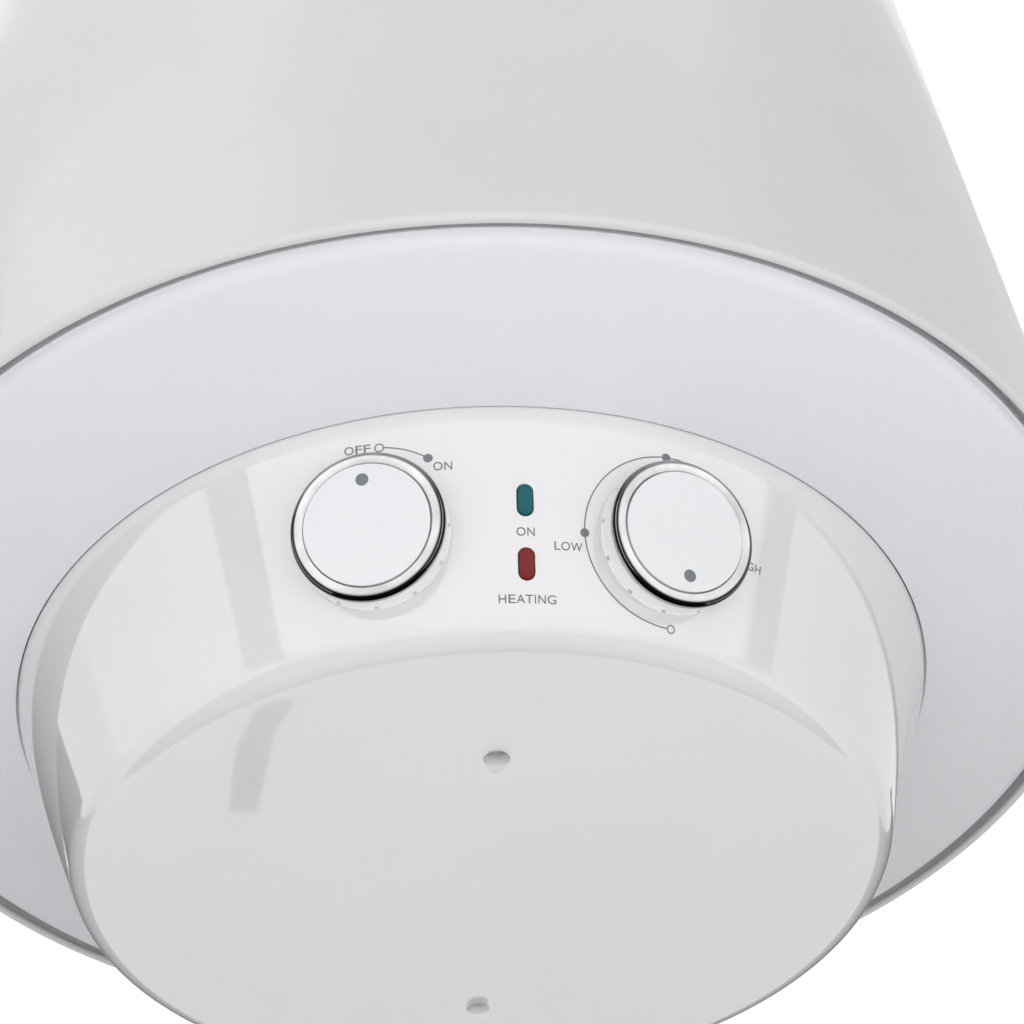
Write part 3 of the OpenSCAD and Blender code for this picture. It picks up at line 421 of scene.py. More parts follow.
# Paints and plastics: colour, least and most roughness, grain per metre and its depth in metres, mottle, and
# the shader's plain sockets
PLASTICS = {
    "jacket_paint": ((0.7, 0.697, 0.706), 0.3, 0.38, 700.0, 0.000008, 0.015, {"Coat Weight": 0.15}),
    "cap_plastic": ((0.81, 0.818, 0.844), 0.4, 0.5, 1600.0, 0.00004),
    "cover_plastic": ((0.79, 0.787, 0.806), 0.04, 0.07, 260.0, 0.000003, 0.015, {
        "IOR": 1.6, "Coat Weight": 0.8, "Coat Roughness": 0.02}),
    "knob_plastic": ((0.8, 0.808, 0.83), 0.18, 0.26, 1200.0, 0.00001, 0.015, {"Coat Weight": 0.2}),
    "skirt_plastic": ((0.93, 0.935, 0.95), 0.16, 0.24, 1200.0, 0.00001, 0.015, {"Coat Weight": 0.2}),
    "green_lens": ((0.002, 0.12, 0.14), 0.1, 0.16, 700.0, 0.00001, 0.12, {"Specular IOR Level": 0.25}),
    "red_lens": ((0.2, 0.012, 0.014), 0.1, 0.16, 700.0, 0.00001, 0.12, {"Specular IOR Level": 0.25}),
    "tank_steel": ((0.08, 0.1, 0.16), 0.2, 0.35, 300.0, 0.00005, 0.15),
    "foam": ((0.78, 0.62, 0.3), 0.8, 0.95, 700.0, 0.0004, 0.12),
    "black_rubber": ((0.012, 0.012, 0.014), 0.6, 0.75, 900.0, 0.00008, 0.2),
    "black_plastic": ((0.018, 0.018, 0.02), 0.38, 0.5, 1300.0, 0.00006, 0.2),
    "pale_plastic": ((0.6, 0.58, 0.5), 0.4, 0.55, 1300.0, 0.00004, 0.05),
    "blue_plastic": ((0.01, 0.07, 0.36), 0.3, 0.42, 1300.0, 0.00004, 0.08),
    "red_plastic": ((0.42, 0.01, 0.012), 0.3, 0.42, 1300.0, 0.00004, 0.08),
    "grey_ink": ((0.17, 0.185, 0.195), 0.3, 0.45, 2500.0, 0.000005, 0.08),
}
# Metals: colour, tarnish, and least and most roughness
METALS = {
    "knob_chrome": ((0.66, 0.66, 0.67), (0.42, 0.415, 0.42), 0.05, 0.1, 0.000002),
    "zinc_steel": ((0.56, 0.57, 0.59), (0.44, 0.45, 0.47), 0.28, 0.42),
    "pipe_steel": ((0.55, 0.55, 0.54), (0.42, 0.41, 0.4), 0.22, 0.36),
    "copper": ((0.6, 0.27, 0.15), (0.42, 0.17, 0.1), 0.2, 0.35),
    "brass": ((0.62, 0.42, 0.15), (0.47, 0.3, 0.11), 0.2, 0.35),
    "magnesium": ((0.5, 0.5, 0.5), (0.38, 0.38, 0.37), 0.45, 0.6),
}
FINISHES = {slot: moulded(slot, *values) for slot, values in PLASTICS.items()}
FINISHES.update({slot: metal(slot, *values) for slot, values in METALS.items()})
# The knob chrome's flank carries a painted dark reflection in its colour
painted_reflection(FINISHES["knob_chrome"])


# Mesh helpers
def rounded(corners, arc_steps=6):
    """An outline from (radius, height, rounding) corners, with each rounding drawn as an arc."""
    outline = []
    for i, (r, z, fillet) in enumerate(corners):
        here = Vector((r, z))
        if not fillet:
            outline.append(here)
            continue
        back = (Vector(corners[i - 1][:2]) - here).normalized()
        on = (Vector(corners[(i + 1) % len(corners)][:2]) - here).normalized()
        half = back.angle(on) / 2
        centre = here + (back + on).normalized() * fillet / math.sin(half)
        first = here + back * fillet / math.tan(half) - centre
        sweep = first.angle_signed(here + on * fillet / math.tan(half) - centre)
        for step in range(arc_steps + 1):
            outline.append(centre + Matrix.Rotation(-sweep * step / arc_steps, 2) @ first)
    return outline


def turned(outline, slot, steps=ROUND_STEPS, ring=True):
    """A mesh turned from an outline of (radius, height) points; a ring's outline is closed."""
    path_r = 100.0
    base = bpy.data.meshes.new("outline")
    edges = [(i, i + 1) for i in range(len(outline) - 1)]
    if ring:
        edges.append((len(outline) - 1, 0))
    base.from_pydata([(r - path_r, -z, 0) for r, z in outline], edges, [])
    return grown(TURNED, FINISHES[slot], base, steps=steps, path_radius=path_r)


def rod(radius, low, high):
    """The outline of a plain rod on the Z axis."""
    return [(0, low), (radius, low), (radius, high), (0, high)]


def on_cover(azimuth, slant):
    """A spot on the cover's wall: X runs round it, Y up it and Z out of it."""
    foot = Matrix.Translation((0, -(SEAM_R - slant * math.sin(DRAFT)), SEAM_Z - slant * math.cos(DRAFT)))
    lean = Matrix.Rotation(math.pi / 2 + DRAFT, 4, "X")
    return Matrix.Rotation(math.radians(azimuth), 4, "Z") @ foot @ lean


def wrapped(mesh, azimuth, slant):
    """Bends a flat mesh, drawn on XY, onto the cover's wall round the given spot."""
    middle_r = SEAM_R - slant * math.sin(DRAFT)
    for vertex in mesh.vertices:
        x, y, out = vertex.co
        turn = azimuth + math.degrees(x / middle_r)
        vertex.co = on_cover(turn, slant - y) @ Vector((0, 0, out))


def keep(name, mesh, slot, body, nodes=(), place=Matrix.Identity(4), sharp=32.0):
    """Makes a finished piece: welded, facing outwards, smooth but for its sharp edges, riding on its body."""
    mesh.name = name
    mesh.transform(HEATER @ place)
    outward(mesh, 1e-7)
    mesh.polygons.foreach_set("use_smooth", [True] * len(mesh.polygons))
    mesh.set_sharp_from_angle(angle=math.radians(sharp))
    mesh.materials.clear()
    mesh.materials.append(FINISHES[slot])
    made = bpy.data.objects.new(name, mesh)
    bpy.context.scene.collection.objects.link(made)
    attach(made, body)
    if nodes:
        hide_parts(*nodes)
    return made


def outward(mesh, weld=1e-4):
    """Welds a closed mesh and turns its faces outwards."""
    work = bmesh.new()
    work.from_mesh(mesh)
    bmesh.ops.remove_doubles(work, verts=work.verts, dist=weld)
    bmesh.ops.recalc_face_normals(work, faces=work.faces)
    work.to_mesh(mesh)
    work.free()
    return mesh


def combined(first, second, operation):
    """Two meshes joined or cut by Blender's exact boolean."""
    holder = bpy.data.objects.new("first", outward(first))
    tool = bpy.data.objects.new("second", outward(second))
    for part in (holder, tool):
        bpy.context.scene.collection.objects.link(part)
    modifier = holder.modifiers.new("combine", "BOOLEAN")
    modifier.operation = operation
    modifier.solver = "EXACT"
    modifier.object = tool
    mesh = plain(holder)
    bpy.data.objects.remove(tool)
    return mesh


def joined(meshes):
    """Several meshes put together as one."""
    work = bmesh.new()
    for mesh in meshes:
        work.from_mesh(mesh)
    whole = bpy.data.meshes.new("joined")
    work.to_mesh(whole)
    work.free()
    return whole


def moved(mesh, place):
    mesh.transform(place)
    return mesh


def stadium_loft(width, length, levels, half_steps=14):
    """A solid with a stadium outline: levels are (inset, height) from its foot to its crown."""
    work = bmesh.new()
    rings = []
    for inset, height in levels:
        radius = width / 2 - inset
        straight = (length - width) / 2
        ring = []
        for end in (1, -1):
            for step in range(half_steps + 1):
                angle = math.pi * step / half_steps + (0 if end > 0 else math.pi)
                ring.append(work.verts.new((
                    radius * math.cos(angle), end * straight + radius * math.sin(angle), height)))
        rings.append(ring)
    count = len(rings[0])
    for low, high in zip(rings, rings[1:]):
        for i in range(count):
            j = (i + 1) % count
            work.faces.new((low[i], low[j], high[j], high[i]))
    work.faces.new(rings[0][::-1])
    work.faces.new(rings[-1])
    mesh = bpy.data.meshes.new("stadium")
    work.to_mesh(mesh)
    work.free()
    return mesh


def softened(node, slot, width, body="heater"):
    """A copy of a CAD node with its sharp edges rounded, in the node's place."""
    mesh = frame["nodes"][node].data.copy()
    work = bmesh.new()
    work.from_mesh(mesh)
    bmesh.ops.remove_doubles(work, verts=work.verts, dist=1e-6)
    bmesh.ops.dissolve_limit(work, angle_limit=math.radians(0.5), verts=work.verts, edges=work.edges)
    work.to_mesh(mesh)
    work.free()
    holder = bpy.data.objects.new("holder", mesh)
    bpy.context.scene.collection.objects.link(holder)
    edge = holder.modifiers.new("edge", "BEVEL")
    edge.width = width * MM
    edge.segments = 3
    edge.limit_method = "ANGLE"
    edge.angle_limit = math.radians(35)
    return keep(node + "_piece", plain(holder), slot, body, (node,), HEATER.inverted())


node_slots = {part["node"]: part["material_slot"] for part in frame["record"]["subparts"]}
for node, solid in frame["nodes"].items():
    solid.data.materials.clear()
    solid.data.materials.append(FINISHES[node_slots[node]])


# Casing
def arc(centre, radius, first, last, steps):
    """Points along an arc from one angle to another, in degrees."""
    angles = [math.radians(first + (last - first) * i / steps) for i in range(steps + 1)]
    return [(centre[0] + radius * math.cos(a), centre[1] + radius * math.sin(a)) for a in angles]


def jacket():
    bead_r = JACKET_R - BEAD_R
    inner_r = JACKET_R - JACKET_T
    lift = math.sqrt(BEAD_R ** 2 - (inner_r - bead_r) ** 2)
    meet = math.degrees(math.atan2(lift, inner_r - bead_r))
    edge_r = 2 * BEAD_R - EDGE_IN
    low = arc((bead_r, BEAD_R), BEAD_R, meet, 180, 12)
    low += arc((bead_r - BEAD_R + EDGE_IN, EDGE_IN), EDGE_IN, 180, 270, 4)
    low += arc((JACKET_R - edge_r, edge_r), edge_r, 272, 360, 16)
    high = arc((bead_r, JACKET_H - BEAD_R), BEAD_R, 0, 360 - meet, 22)
    keep("jacket_shell", turned(low + high, "jacket_paint"), "jacket_paint", "heater", ("outer_jacket",))


def dome(radius, middle_z, edge, steps):
    """Points along a dome's outline, from its middle to the angle edge."""
    angles = [edge * i / steps for i in range(steps + 1)]
    return [(radius * math.sin(a), middle_z + radius * math.cos(a)) for a in angles]


def top_cap():
    ball_r = (CAP_R ** 2 + TOP_RISE ** 2) / (2 * TOP_RISE)
    ball_z = JACKET_H + TOP_RISE - ball_r
    inner_r = ball_r - CAP_T
    outside = dome(ball_r, ball_z, math.asin((CAP_R - TOP_SHOULDER) / ball_r), 30)
    inside = dome(inner_r, ball_z, math.asin((CAP_R - CAP_T) / inner_r), 12)[::-1]
    edge_z = outside[-1][1]
    shoulder = [(CAP_R - TOP_SHOULDER_IN, edge_z - TOP_SHOULDER_IN), (CAP_R, edge_z - TOP_SHOULDER)]
    low = JACKET_H - SPIGOT_H
    outline = outside + shoulder + [(CAP_R, low), (CAP_R - CAP_T, low)] + inside
    keep("top_cap_shell", turned(outline, "cap_plastic", ring=False), "cap_plastic", "heater", ("top_cap",))


def bottom_cap():
    opening_r = SEAM_R + SEAM_GAP
    collar_r = opening_r + CAP_T
    collar_top = SEAM_Z + COLLAR_H
    groove_r = CAP_R - CAP_GROOVE
    inner_r = CAP_R - CAP_T
    shell = turned(rounded([
        (opening_r, SEAM_Z, CORNER_ROUND), (groove_r, CAP_LOW, CAP_EDGE), (groove_r, GROOVE_LOW, EDGE_ROUND),
        (CAP_R, GROOVE_HIGH, EDGE_ROUND), (CAP_R, SPIGOT_H, EDGE_ROUND), (inner_r, SPIGOT_H, EDGE_ROUND),
        (inner_r, CAP_LOW + CAP_T, CORNER_ROUND), (collar_r, SEAM_Z + CAP_T, CORNER_ROUND),
        (collar_r, collar_top, EDGE_ROUND), (opening_r, collar_top, EDGE_ROUND)]), "cap_plastic")
    pipe_x, pipe_y = PIPE_AT
    for x, y, hole_r in (
            (pipe_x, pipe_y, PIPE_HOLE_R), (-pipe_x, pipe_y, PIPE_HOLE_R), (0, GLAND_Y, GLAND_HOLE_R)):
        pad = turned(rounded([
            (hole_r, PAD_LOW, EDGE_ROUND), (PAD_R, PAD_LOW, 2 * EDGE_ROUND), (PAD_R, PAD_TOP, EDGE_ROUND),
            (hole_r, PAD_TOP, EDGE_ROUND)]), "cap_plastic", 96)
        bore = turned(rod(hole_r, -30, 30), "cap_plastic", 96, ring=False)
        spot = Matrix.Translation((x, y, 0))
        shell = combined(shell, moved(bore, spot), "DIFFERENCE")
        shell = combined(shell, moved(pad, spot), "UNION")
    keep("bottom_cap_shell", shell, "cap_plastic", "heater", ("bottom_cap",))


def cover_outline():
    turn_z = COVER_LOW + COVER_FILLET
    turn = Vector((SEAM_R + (turn_z - SEAM_Z) * math.tan(DRAFT) - COVER_FILLET / math.cos(DRAFT), turn_z))
    high = SEAM_Z + RIM_H
    inner_r = COVER_FILLET - COVER_T
    rim_r = SEAM_R - COVER_T / math.cos(DRAFT)
    start = -math.degrees(DRAFT)
    outside = arc(turn, COVER_FILLET, -90, start, 16)
    inside = arc(turn, inner_r, start, -90, 8)
    foot = Vector(outside[-1])
    rise = Vector((SEAM_R, SEAM_Z)) - foot
    wall = [tuple(foot + rise * i / 12) for i in range(1, 12)]
    flat = [(turn[0] * i / 10, COVER_LOW) for i in range(10)]
    return flat + outside + wall + [
        (SEAM_R, SEAM_Z - 0.2), (SEAM_R - 0.02, SEAM_Z + 0.2), (SEAM_R, high - EDGE_ROUND),
        (SEAM_R - EDGE_ROUND, high), (rim_r, high), (rim_r, SEAM_Z)] + inside + [(0, COVER_LOW + COVER_T)]


SCREW_RING = 77.0
SCREW_AZIMUTH = -2.7
SCREW_HOLE_R = 4.0
SCREW_SINK = 6.5
SCREW_CROSS = (0.8, 2.8, 5.2)
SCREW_OUTLINE = (
    (0, -3.6), (1.4, -3.5), (2.0, -3.2), (2.3, -2.6), (2.3, 0), (1.5, 0), (1.5, 20), (0, 20))
POST_R = 6.0
POST_FOOT = 1.0
POST_H = 21.2
PILOT_R = 1.8
LAMP_W = 4.4
LAMP_L = 9.6
LAMP_GAP = 0.6
LENS_LEVELS = (
    (-1.4, -3.8), (-1.4, -2.6), (0, -2.6), (0, 0.25), (0.08, 0.42), (0.25, 0.56), (0.6, 0.71), (1.1, 0.82),
    (1.6, 0.88), (2.0, 0.9))
LAMP_SLANTS = {"power_lamp_lens": (29.5, "green_lens"), "heating_lamp_lens": (49.2, "red_lens")}
SEAT_R = 22.6
SEAT_H = 0.3
SEAT_ROOT = -1.6


def control_cover():
    shell = turned(cover_outline(), "cover_plastic", ring=False)
    for side in (-1, 1):
        seat = turned([
            (0, SEAT_ROOT), (SEAT_R, SEAT_ROOT), (SEAT_R, SEAT_H - 0.15), (SEAT_R - 0.05, SEAT_H - 0.05),
            (SEAT_R - 0.15, SEAT_H), (0, SEAT_H)], "cover_plastic", 192, ring=False)
        shell = combined(shell, moved(seat, on_cover(side * KNOB_AZIMUTH, KNOB_SLANT)), "UNION")
    for slant, _ in LAMP_SLANTS.values():
        window = stadium_loft(LAMP_W + LAMP_GAP, LAMP_L + LAMP_GAP, [(0, -6), (0, 6)])
        shell = combined(shell, moved(window, on_cover(0, slant)), "DIFFERENCE")
    for half in (0, 180):
        turn = Matrix.Rotation(math.radians(SCREW_AZIMUTH + half), 4, "Z")
        spot = turn @ Matrix.Translation((0, -SCREW_RING, COVER_LOW))
        post = turned(rod(POST_R, POST_FOOT, POST_H), "cover_plastic", 64, ring=False)
        mouth_r = SCREW_HOLE_R + 0.5
        sink = turned([
            (0, -2), (mouth_r, -2), (mouth_r, 0), (SCREW_HOLE_R + 0.15, 0.12), (SCREW_HOLE_R, 0.5),
            (SCREW_HOLE_R, SCREW_SINK), (PILOT_R, SCREW_SINK), (PILOT_R, 30), (0, 30)],
            "cover_plastic", 64, ring=False)
        shell = combined(shell, moved(post, spot), "UNION")
        shell = combined(shell, moved(sink, spot), "DIFFERENCE")
    keep("control_cover_shell", shell, "cover_plastic", "heater", ("control_cover",))


def cover_screws():
    screw = turned(SCREW_OUTLINE, "zinc_steel", 48, ring=False)
    screws = grown(CROSS_SCREWS, FINISHES["zinc_steel"], screw, count=2, ring=SCREW_RING,
                   first=math.radians(SCREW_AZIMUTH), height=COVER_LOW + SCREW_SINK, slot=SCREW_CROSS)
    keep("cover_screw_pair", screws, "zinc_steel", "heater", ("cover_screws",))


def lamps():
    for node, (slant, slot) in LAMP_SLANTS.items():
        lens = stadium_loft(LAMP_W, LAMP_L, LENS_LEVELS)
        keep(node + "_piece", lens, slot, "heater", (node,), on_cover(0, slant), 60)


# Knobs: side of the panel, body, and clock angle of the pointer dot
KNOBS = {
    "power": (-1, "power_control", 0.6),
    "thermostat": (1, "thermostat_control", 171.7),
}
KNOB_H = 10.7
DISC_R = 18.4
DISC_LOW = 8.6
SKIRT_R = 22.4
SKIRT_LOW = 0.7
SKIRT_TOP = 6.7
SKIRT_LEAN = 1.4
SKIRT_STEP = 0.4
SKIRT_ROOF = 2.2
HOLLOW_R = 16.8
HUB_R = 6.0
NOTCHES = 12
NOTCH_FIRST = -3.4
NOTCH = (6.0, 1.3, 2.2)
BEAD_MIDDLE = 20.6
BEAD_HALF = 2.0
BEAD_TOP = 10.3
BEAD_ROLL = 0.4
POINTER_RING = 13.6
POINTER_R = 1.9


def bezel_outline():
    """The bright ring: round outside, and a flatter roll inside that meets the disc near its top."""
    outside = arc((BEAD_MIDDLE, BEAD_TOP - BEAD_HALF), BEAD_HALF, -90, 90, 24)
    inside = [(BEAD_MIDDLE - BEAD_HALF * math.sin(a), BEAD_TOP - BEAD_ROLL + BEAD_ROLL * math.cos(a))
              for a in (math.pi / 2 * i / 12 for i in range(1, 13))]
    return outside + inside + [(BEAD_MIDDLE - BEAD_HALF, SKIRT_TOP)]


def knob_skirt():
    roof = DISC_LOW - SKIRT_ROOF
    outline = rounded([
        (0, DISC_LOW, 0), (DISC_R, DISC_LOW, 0.3), (DISC_R, SKIRT_TOP, 0.1),
        (SKIRT_R - SKIRT_LEAN, SKIRT_TOP, 0.35), (SKIRT_R - SKIRT_STEP, SKIRT_LOW + 0.65, 0.5),
        (SKIRT_R, SKIRT_LOW + 0.25, 0.12),
        (SKIRT_R, SKIRT_LOW, 0.08), (HOLLOW_R, SKIRT_LOW, 0.1), (HOLLOW_R, roof, 0.3), (HUB_R, roof, 0.3),
        (HUB_R, SKIRT_LOW, 0.2), (0, SKIRT_LOW, 0)], 5)
    skirt = turned(outline, "skirt_plastic", 192, ring=False)
    return grown(NOTCHED, FINISHES["skirt_plastic"], skirt, count=NOTCHES, radius=SKIRT_R, height=SKIRT_LOW,
                 first=math.radians(NOTCH_FIRST), notch=NOTCH)


def knob_bezel():
    """The bright ring, with how far down its flank and how high round the knob each point is, which place its
    painted reflection.
    """
    bezel = turned(bezel_outline(), "knob_chrome", 256)
    flank = bezel.attributes.new("flank", "FLOAT", "POINT")
    climb = bezel.attributes.new("climb", "FLOAT", "POINT")
    for i, vertex in enumerate(bezel.vertices):
        out = vertex.co.xy.length - BEAD_MIDDLE
        flank.data[i].value = max(0.0, math.atan2(out, vertex.co.z - BEAD_TOP + BEAD_HALF) * 2 / math.pi)
        climb.data[i].value = vertex.co.y / vertex.co.xy.length
    return bezel


def knob_disc():
    return turned(rounded([
        (0, DISC_LOW, 0), (DISC_R, DISC_LOW, 0.2), (DISC_R, KNOB_H - 0.08, 0.25), (9.0, KNOB_H - 0.02, 0),
        (0, KNOB_H, 0)], 8), "knob_plastic", 256, ring=False)


def pointer_dot():
    return turned([
        (0, -0.15), (POINTER_R, -0.15), (POINTER_R, -0.02), (POINTER_R - 0.03, -0.005), (0, 0)],
        "grey_ink", 48, ring=False)


def knobs():
    for name, (side, body, pointer) in KNOBS.items():
        spot = on_cover(side * KNOB_AZIMUTH, KNOB_SLANT)
        clock = math.radians(pointer)
        at_dot = Matrix.Translation((POINTER_RING * math.sin(clock), POINTER_RING * math.cos(clock), KNOB_H))
        keep(name + "_knob_skirt", knob_skirt(), "skirt_plastic", body, (name + "_knob",), spot)
        keep(name + "_knob_bezel", knob_bezel(), "knob_chrome", body, (name + "_knob_ring",), spot, 60)
        keep(name + "_knob_disc", knob_disc(), "knob_plastic", body, (name + "_knob_cap",), spot)
        keep(name + "_pointer_dot", pointer_dot(), "grey_ink", body, (), spot @ at_dot)


# Printing on the panel
INK_H = 0.1
TEXT_H = 2.75
TEXT_BOLD = 0.025
FONT_CAPITAL = 0.73
CAP_UNITS = 718
# Space before each letter, its width and its step to the next, where capitals are CAP_UNITS high
LETTERS = {
    "A": (14, 640, 667), "E": (86, 530, 667), "F": (86, 497, 611), "G": (44, 660, 778), "H": (77, 569, 722),
    "I": (91, 97, 278), "L": (76, 461, 556), "N": (76, 570, 722), "O": (39, 700, 778), "T": (14, 583, 611),
    "W": (16, 912, 944),
}
# For each side's dial: the scale's radius and the clock angles of its hollow dot and its solid dots
SCALES = {-1: (27.2, 6.8, (37.1,)), 1: (26.9, 176.8, (266.4, 353.8, 438.0))}
SCALE_SHIFT = (0.6, 0.4, 0)
# Words round each dial, with their places and turns, and words under the lamps, with their slants
DIAL_WORDS = {
    -1: (("OFF", -2.3, 28.1, -4.0), ("ON", 21.0, 19.3, -2.0)),
    1: (("LOW", -31.2, -5.9), ("HIGH", 28.0, 1.2)),
}
LAMP_WORDS = (("ON", 39.2), ("HEATING", 59.7))


def lettering(text, x, y, turn=0.0):
    """Flat lettering, centred on (x, y), as a closed mesh; each letter is drawn to its own width."""
    unit = TEXT_H / CAP_UNITS
    letters, pen = [], 0.0
    for sign in text:
        curve = bpy.data.curves.new("letter", "FONT")
        curve.body = sign
        curve.size = TEXT_H / FONT_CAPITAL
        curve.offset = TEXT_BOLD
        curve.extrude = INK_H / 2
        curve.resolution_u = 5
        holder = bpy.data.objects.new("letter", curve)
        bpy.context.scene.collection.objects.link(holder)
        mesh = plain(holder)
        sides = [vertex.co.x for vertex in mesh.vertices]
        bearing, ink, advance = LETTERS[sign]
        letters.append(moved(
            mesh, Matrix.Translation((pen + bearing * unit, -TEXT_H / 2, 0))
            @ Matrix.Scale(ink * unit / (max(sides) - min(sides)), 4, (1, 0, 0))
            @ Matrix.Translation((-min(sides), 0, 0))))
        pen += advance * unit
    level = Matrix.Rotation(math.radians(turn), 4, "Z") @ Matrix.Translation((-pen / 2, 0, 0))
    return moved(joined(letters), Matrix.Translation((x, y, 0)) @ level)


def clock_points(radius, clocks):
    """Loose points at clock angles, in degrees from straight up and clockwise."""
    points = bpy.data.meshes.new("dots")
    angles = [math.radians(clock) for clock in clocks]
    points.from_pydata([(radius * math.sin(a), radius * math.cos(a), 0) for a in angles], [], [])
    return points


def panel_print():
    layers = []
    for side, (radius, first, dots) in SCALES.items():
        marks = grown(DIAL_SCALE, FINISHES["grey_ink"], clock_points(radius, dots), radius=radius,
                      start=math.radians(90 - first), sweep=math.radians(first - dots[-1]), ink=INK_H)
        flat = [moved(marks, Matrix.Translation(SCALE_SHIFT))]
        flat += [lettering(*word) for word in DIAL_WORDS[side]]
        for mesh in flat:
            wrapped(mesh, side * KNOB_AZIMUTH, KNOB_SLANT)
        layers += flat
    for text, slant in LAMP_WORDS:
        word = lettering(text, 0, 0)
        wrapped(word, 0, slant)
        layers.append(word)
    keep("panel_print", joined(layers), "grey_ink", "heater")


# Underside fittings and the wall side
def pipes():
    places = {side: Matrix.Translation((side * PIPE_AT[0], PIPE_AT[1], 0)) for side in (1, -1)}
    shoulder_z = PIPE_LOW + THREAD_L
    for side, node in ((1, "cold_inlet_pipe"), (-1, "hot_outlet_pipe")):
        pipe = turned(rounded([
            (PIPE_BORE_R, PIPE_LOW, 0.3), (THREAD_ROOT_R, PIPE_LOW, 0.6), (THREAD_ROOT_R, shoulder_z, 0.3),
            (PIPE_R, shoulder_z + 0.7, 0.2), (PIPE_R, PIPE_TOP, 0.3), (PIPE_BORE_R, PIPE_TOP, 0.3)]),
            "pipe_steel", 128)
        ridge = grown(THREAD, FINISHES["pipe_steel"], None, turns=THREAD_TURNS, length=THREAD_L - 1.5,
                      middle_radius=THREAD_MIDDLE_R, depth=THREAD_DEPTH)
        whole = joined([pipe, moved(ridge, Matrix.Translation((0, 0, PIPE_LOW + 0.9)))])
        keep(node + "_piece", whole, "pipe_steel", "heater", (node,), places[side])
    for side, node, slot in ((1, "cold_marker_ring", "blue_plastic"), (-1, "hot_marker_ring", "red_plastic")):
        ring = turned(rounded([
            (PIPE_HOLE_R, MARKER_LOW, 0.3), (MARKER_R, MARKER_LOW, 0.8), (MARKER_R, PAD_LOW, 0.3),
            (PIPE_HOLE_R, PAD_LOW, 0.2)]), slot, 128)
        keep(node + "_piece", ring, slot, "heater", (node,), places[side])


def wall_side():
    softened("wall_bracket", "zinc_steel", 0.7)
    softened("wall_spacer", "black_plastic", 1.0)
    softened("cord_gland", "black_plastic", 0.6)


jacket()
top_cap()
bottom_cap()
control_cover()
cover_screws()
lamps()
knobs()
panel_print()
pipes()
wall_side()


# Camera, fitted to the photograph's circles, in metres in the model's frame
CAMERA_AT = Vector((-0.062, -0.75971, -0.77423))
CAMERA_RIGHT = Vector((0.9934, -0.09758, -0.06038))
CAMERA_UP = Vector((-0.02382, -0.69, 0.72342))
CAMERA_FORWARD = Vector((0.11225, 0.7172, 0.68776))
FOCAL_PIXELS = 1800.0
FRAME_PIXELS = 1024.0
SENSOR = 36.0


def camera():
    lens = bpy.data.cameras.new("camera")
    lens.sensor_width = SENSOR
    lens.lens = SENSOR * FOCAL_PIXELS / FRAME_PIXELS
    lens.clip_end = 50.0
    eye = bpy.data.objects.new("camera", lens)
    turn = Matrix((CAMERA_RIGHT, CAMERA_UP, -CAMERA_FORWARD)).transposed().to_4x4()
    eye.matrix_world = Matrix.Translation(CAMERA_AT) @ turn
    bpy.context.scene.collection.objects.link(eye)
    bpy.context.scene.camera = eye


# Studio, in metres: a pale floor far below, a white surround, soft boxes and felt cards
FLOOR_Z = -1.25
FLOOR_HALF = 9.0
FLOOR_PALE = 0.75
FELT = (0.8, 0.9, 300.0, 0.0001)
SURROUND_FILL = 0.186
STUDIO_AT = Vector((0.0, -0.24, -0.4))
# Azimuth, elevation, distance, width, height, watts, tint, and whether mirror images show the box
BOXES = (
    ("front_box", 4.5, 4.0, 1.6, 4.84, 2.0, 15.2, (1.0, 0.995, 0.99), True),
    ("left_box", -84.0, 8.0, 2.2, 1.7, 2.2, 3.0, (0.95, 0.98, 1.0), True),
    ("high_box", -62.0, 38.0, 2.4, 1.8, 1.4, 8.0, (1.0, 1.0, 1.0), True),
    ("low_box", 0.0, -52.0, 1.2, 3.0, 1.2, 20.0, (1.0, 1.0, 1.0), False),
    ("floor_box", 0.0, -89.0, 0.84, 4.0, 4.0, 13.0, (1.0, 1.0, 1.0), False),
    ("top_box", 0.0, 89.0, 2.8, 3.0, 3.0, 20.0, (1.0, 1.0, 1.0), True),
    ("back_box", 180.0, 12.0, 2.4, 2.4, 2.0, 10.0, (1.0, 1.0, 1.0), False),
)
# Azimuth, elevation, distance, width, height, shade, and whether mirror images or else matt surfaces see it
FLAGS = (
    ("left_flag", -57.0, 2.0, 2.1, 0.36, 2.6, 0.3, True),
    ("right_flag", 66.0, 2.0, 2.1, 0.28, 2.6, 0.45, True),
    ("back_left_flag", -150.0, -4.0, 2.1, 1.9, 2.2, 0.05, True),
    ("back_right_flag", 154.0, -4.0, 2.1, 1.9, 2.2, 0.05, True),
    ("low_flag", 0.0, -88.0, 0.8, 2.0, 1.3, 0.02, True),
    ("shade_card", 88.0, 24.0, 2.1, 1.9, 1.7, 0.02, False),
)
STRIP_Z = -1.248
STRIP = tuple((x, y, STRIP_Z) for x, y in ((-0.122, 0.636), (-0.078, 0.636), (-0.11, 0.88), (-0.139, 0.88)))
STRIP_SHADE = 0.05
# A grey card along the bottom cap's left side, in the heater's millimetres and degrees; only mirror images
# see it, so it puts painted shade on the bottom cap in the cover's and the knobs' reflections
CAP_CARD_ROWS = ((172.0, -6.4), (221.0, -0.6))
CAP_CARD_FIRST = -134
CAP_CARD_STEP = 3
CAP_CARD_STEPS = 32
CAP_CARD_SHADE = 0.3


def facing(azimuth, elevation, distance):
    """A place round the heater, turned to face it; azimuth 0 is its front."""
    a, e = math.radians(azimuth), math.radians(elevation)
    away = Vector((math.sin(a) * math.cos(e), -math.cos(a) * math.cos(e), math.sin(e)))
    turn = (-away).to_track_quat("-Z", "Y").to_matrix().to_4x4()
    return Matrix.Translation(STUDIO_AT + distance * away) @ turn


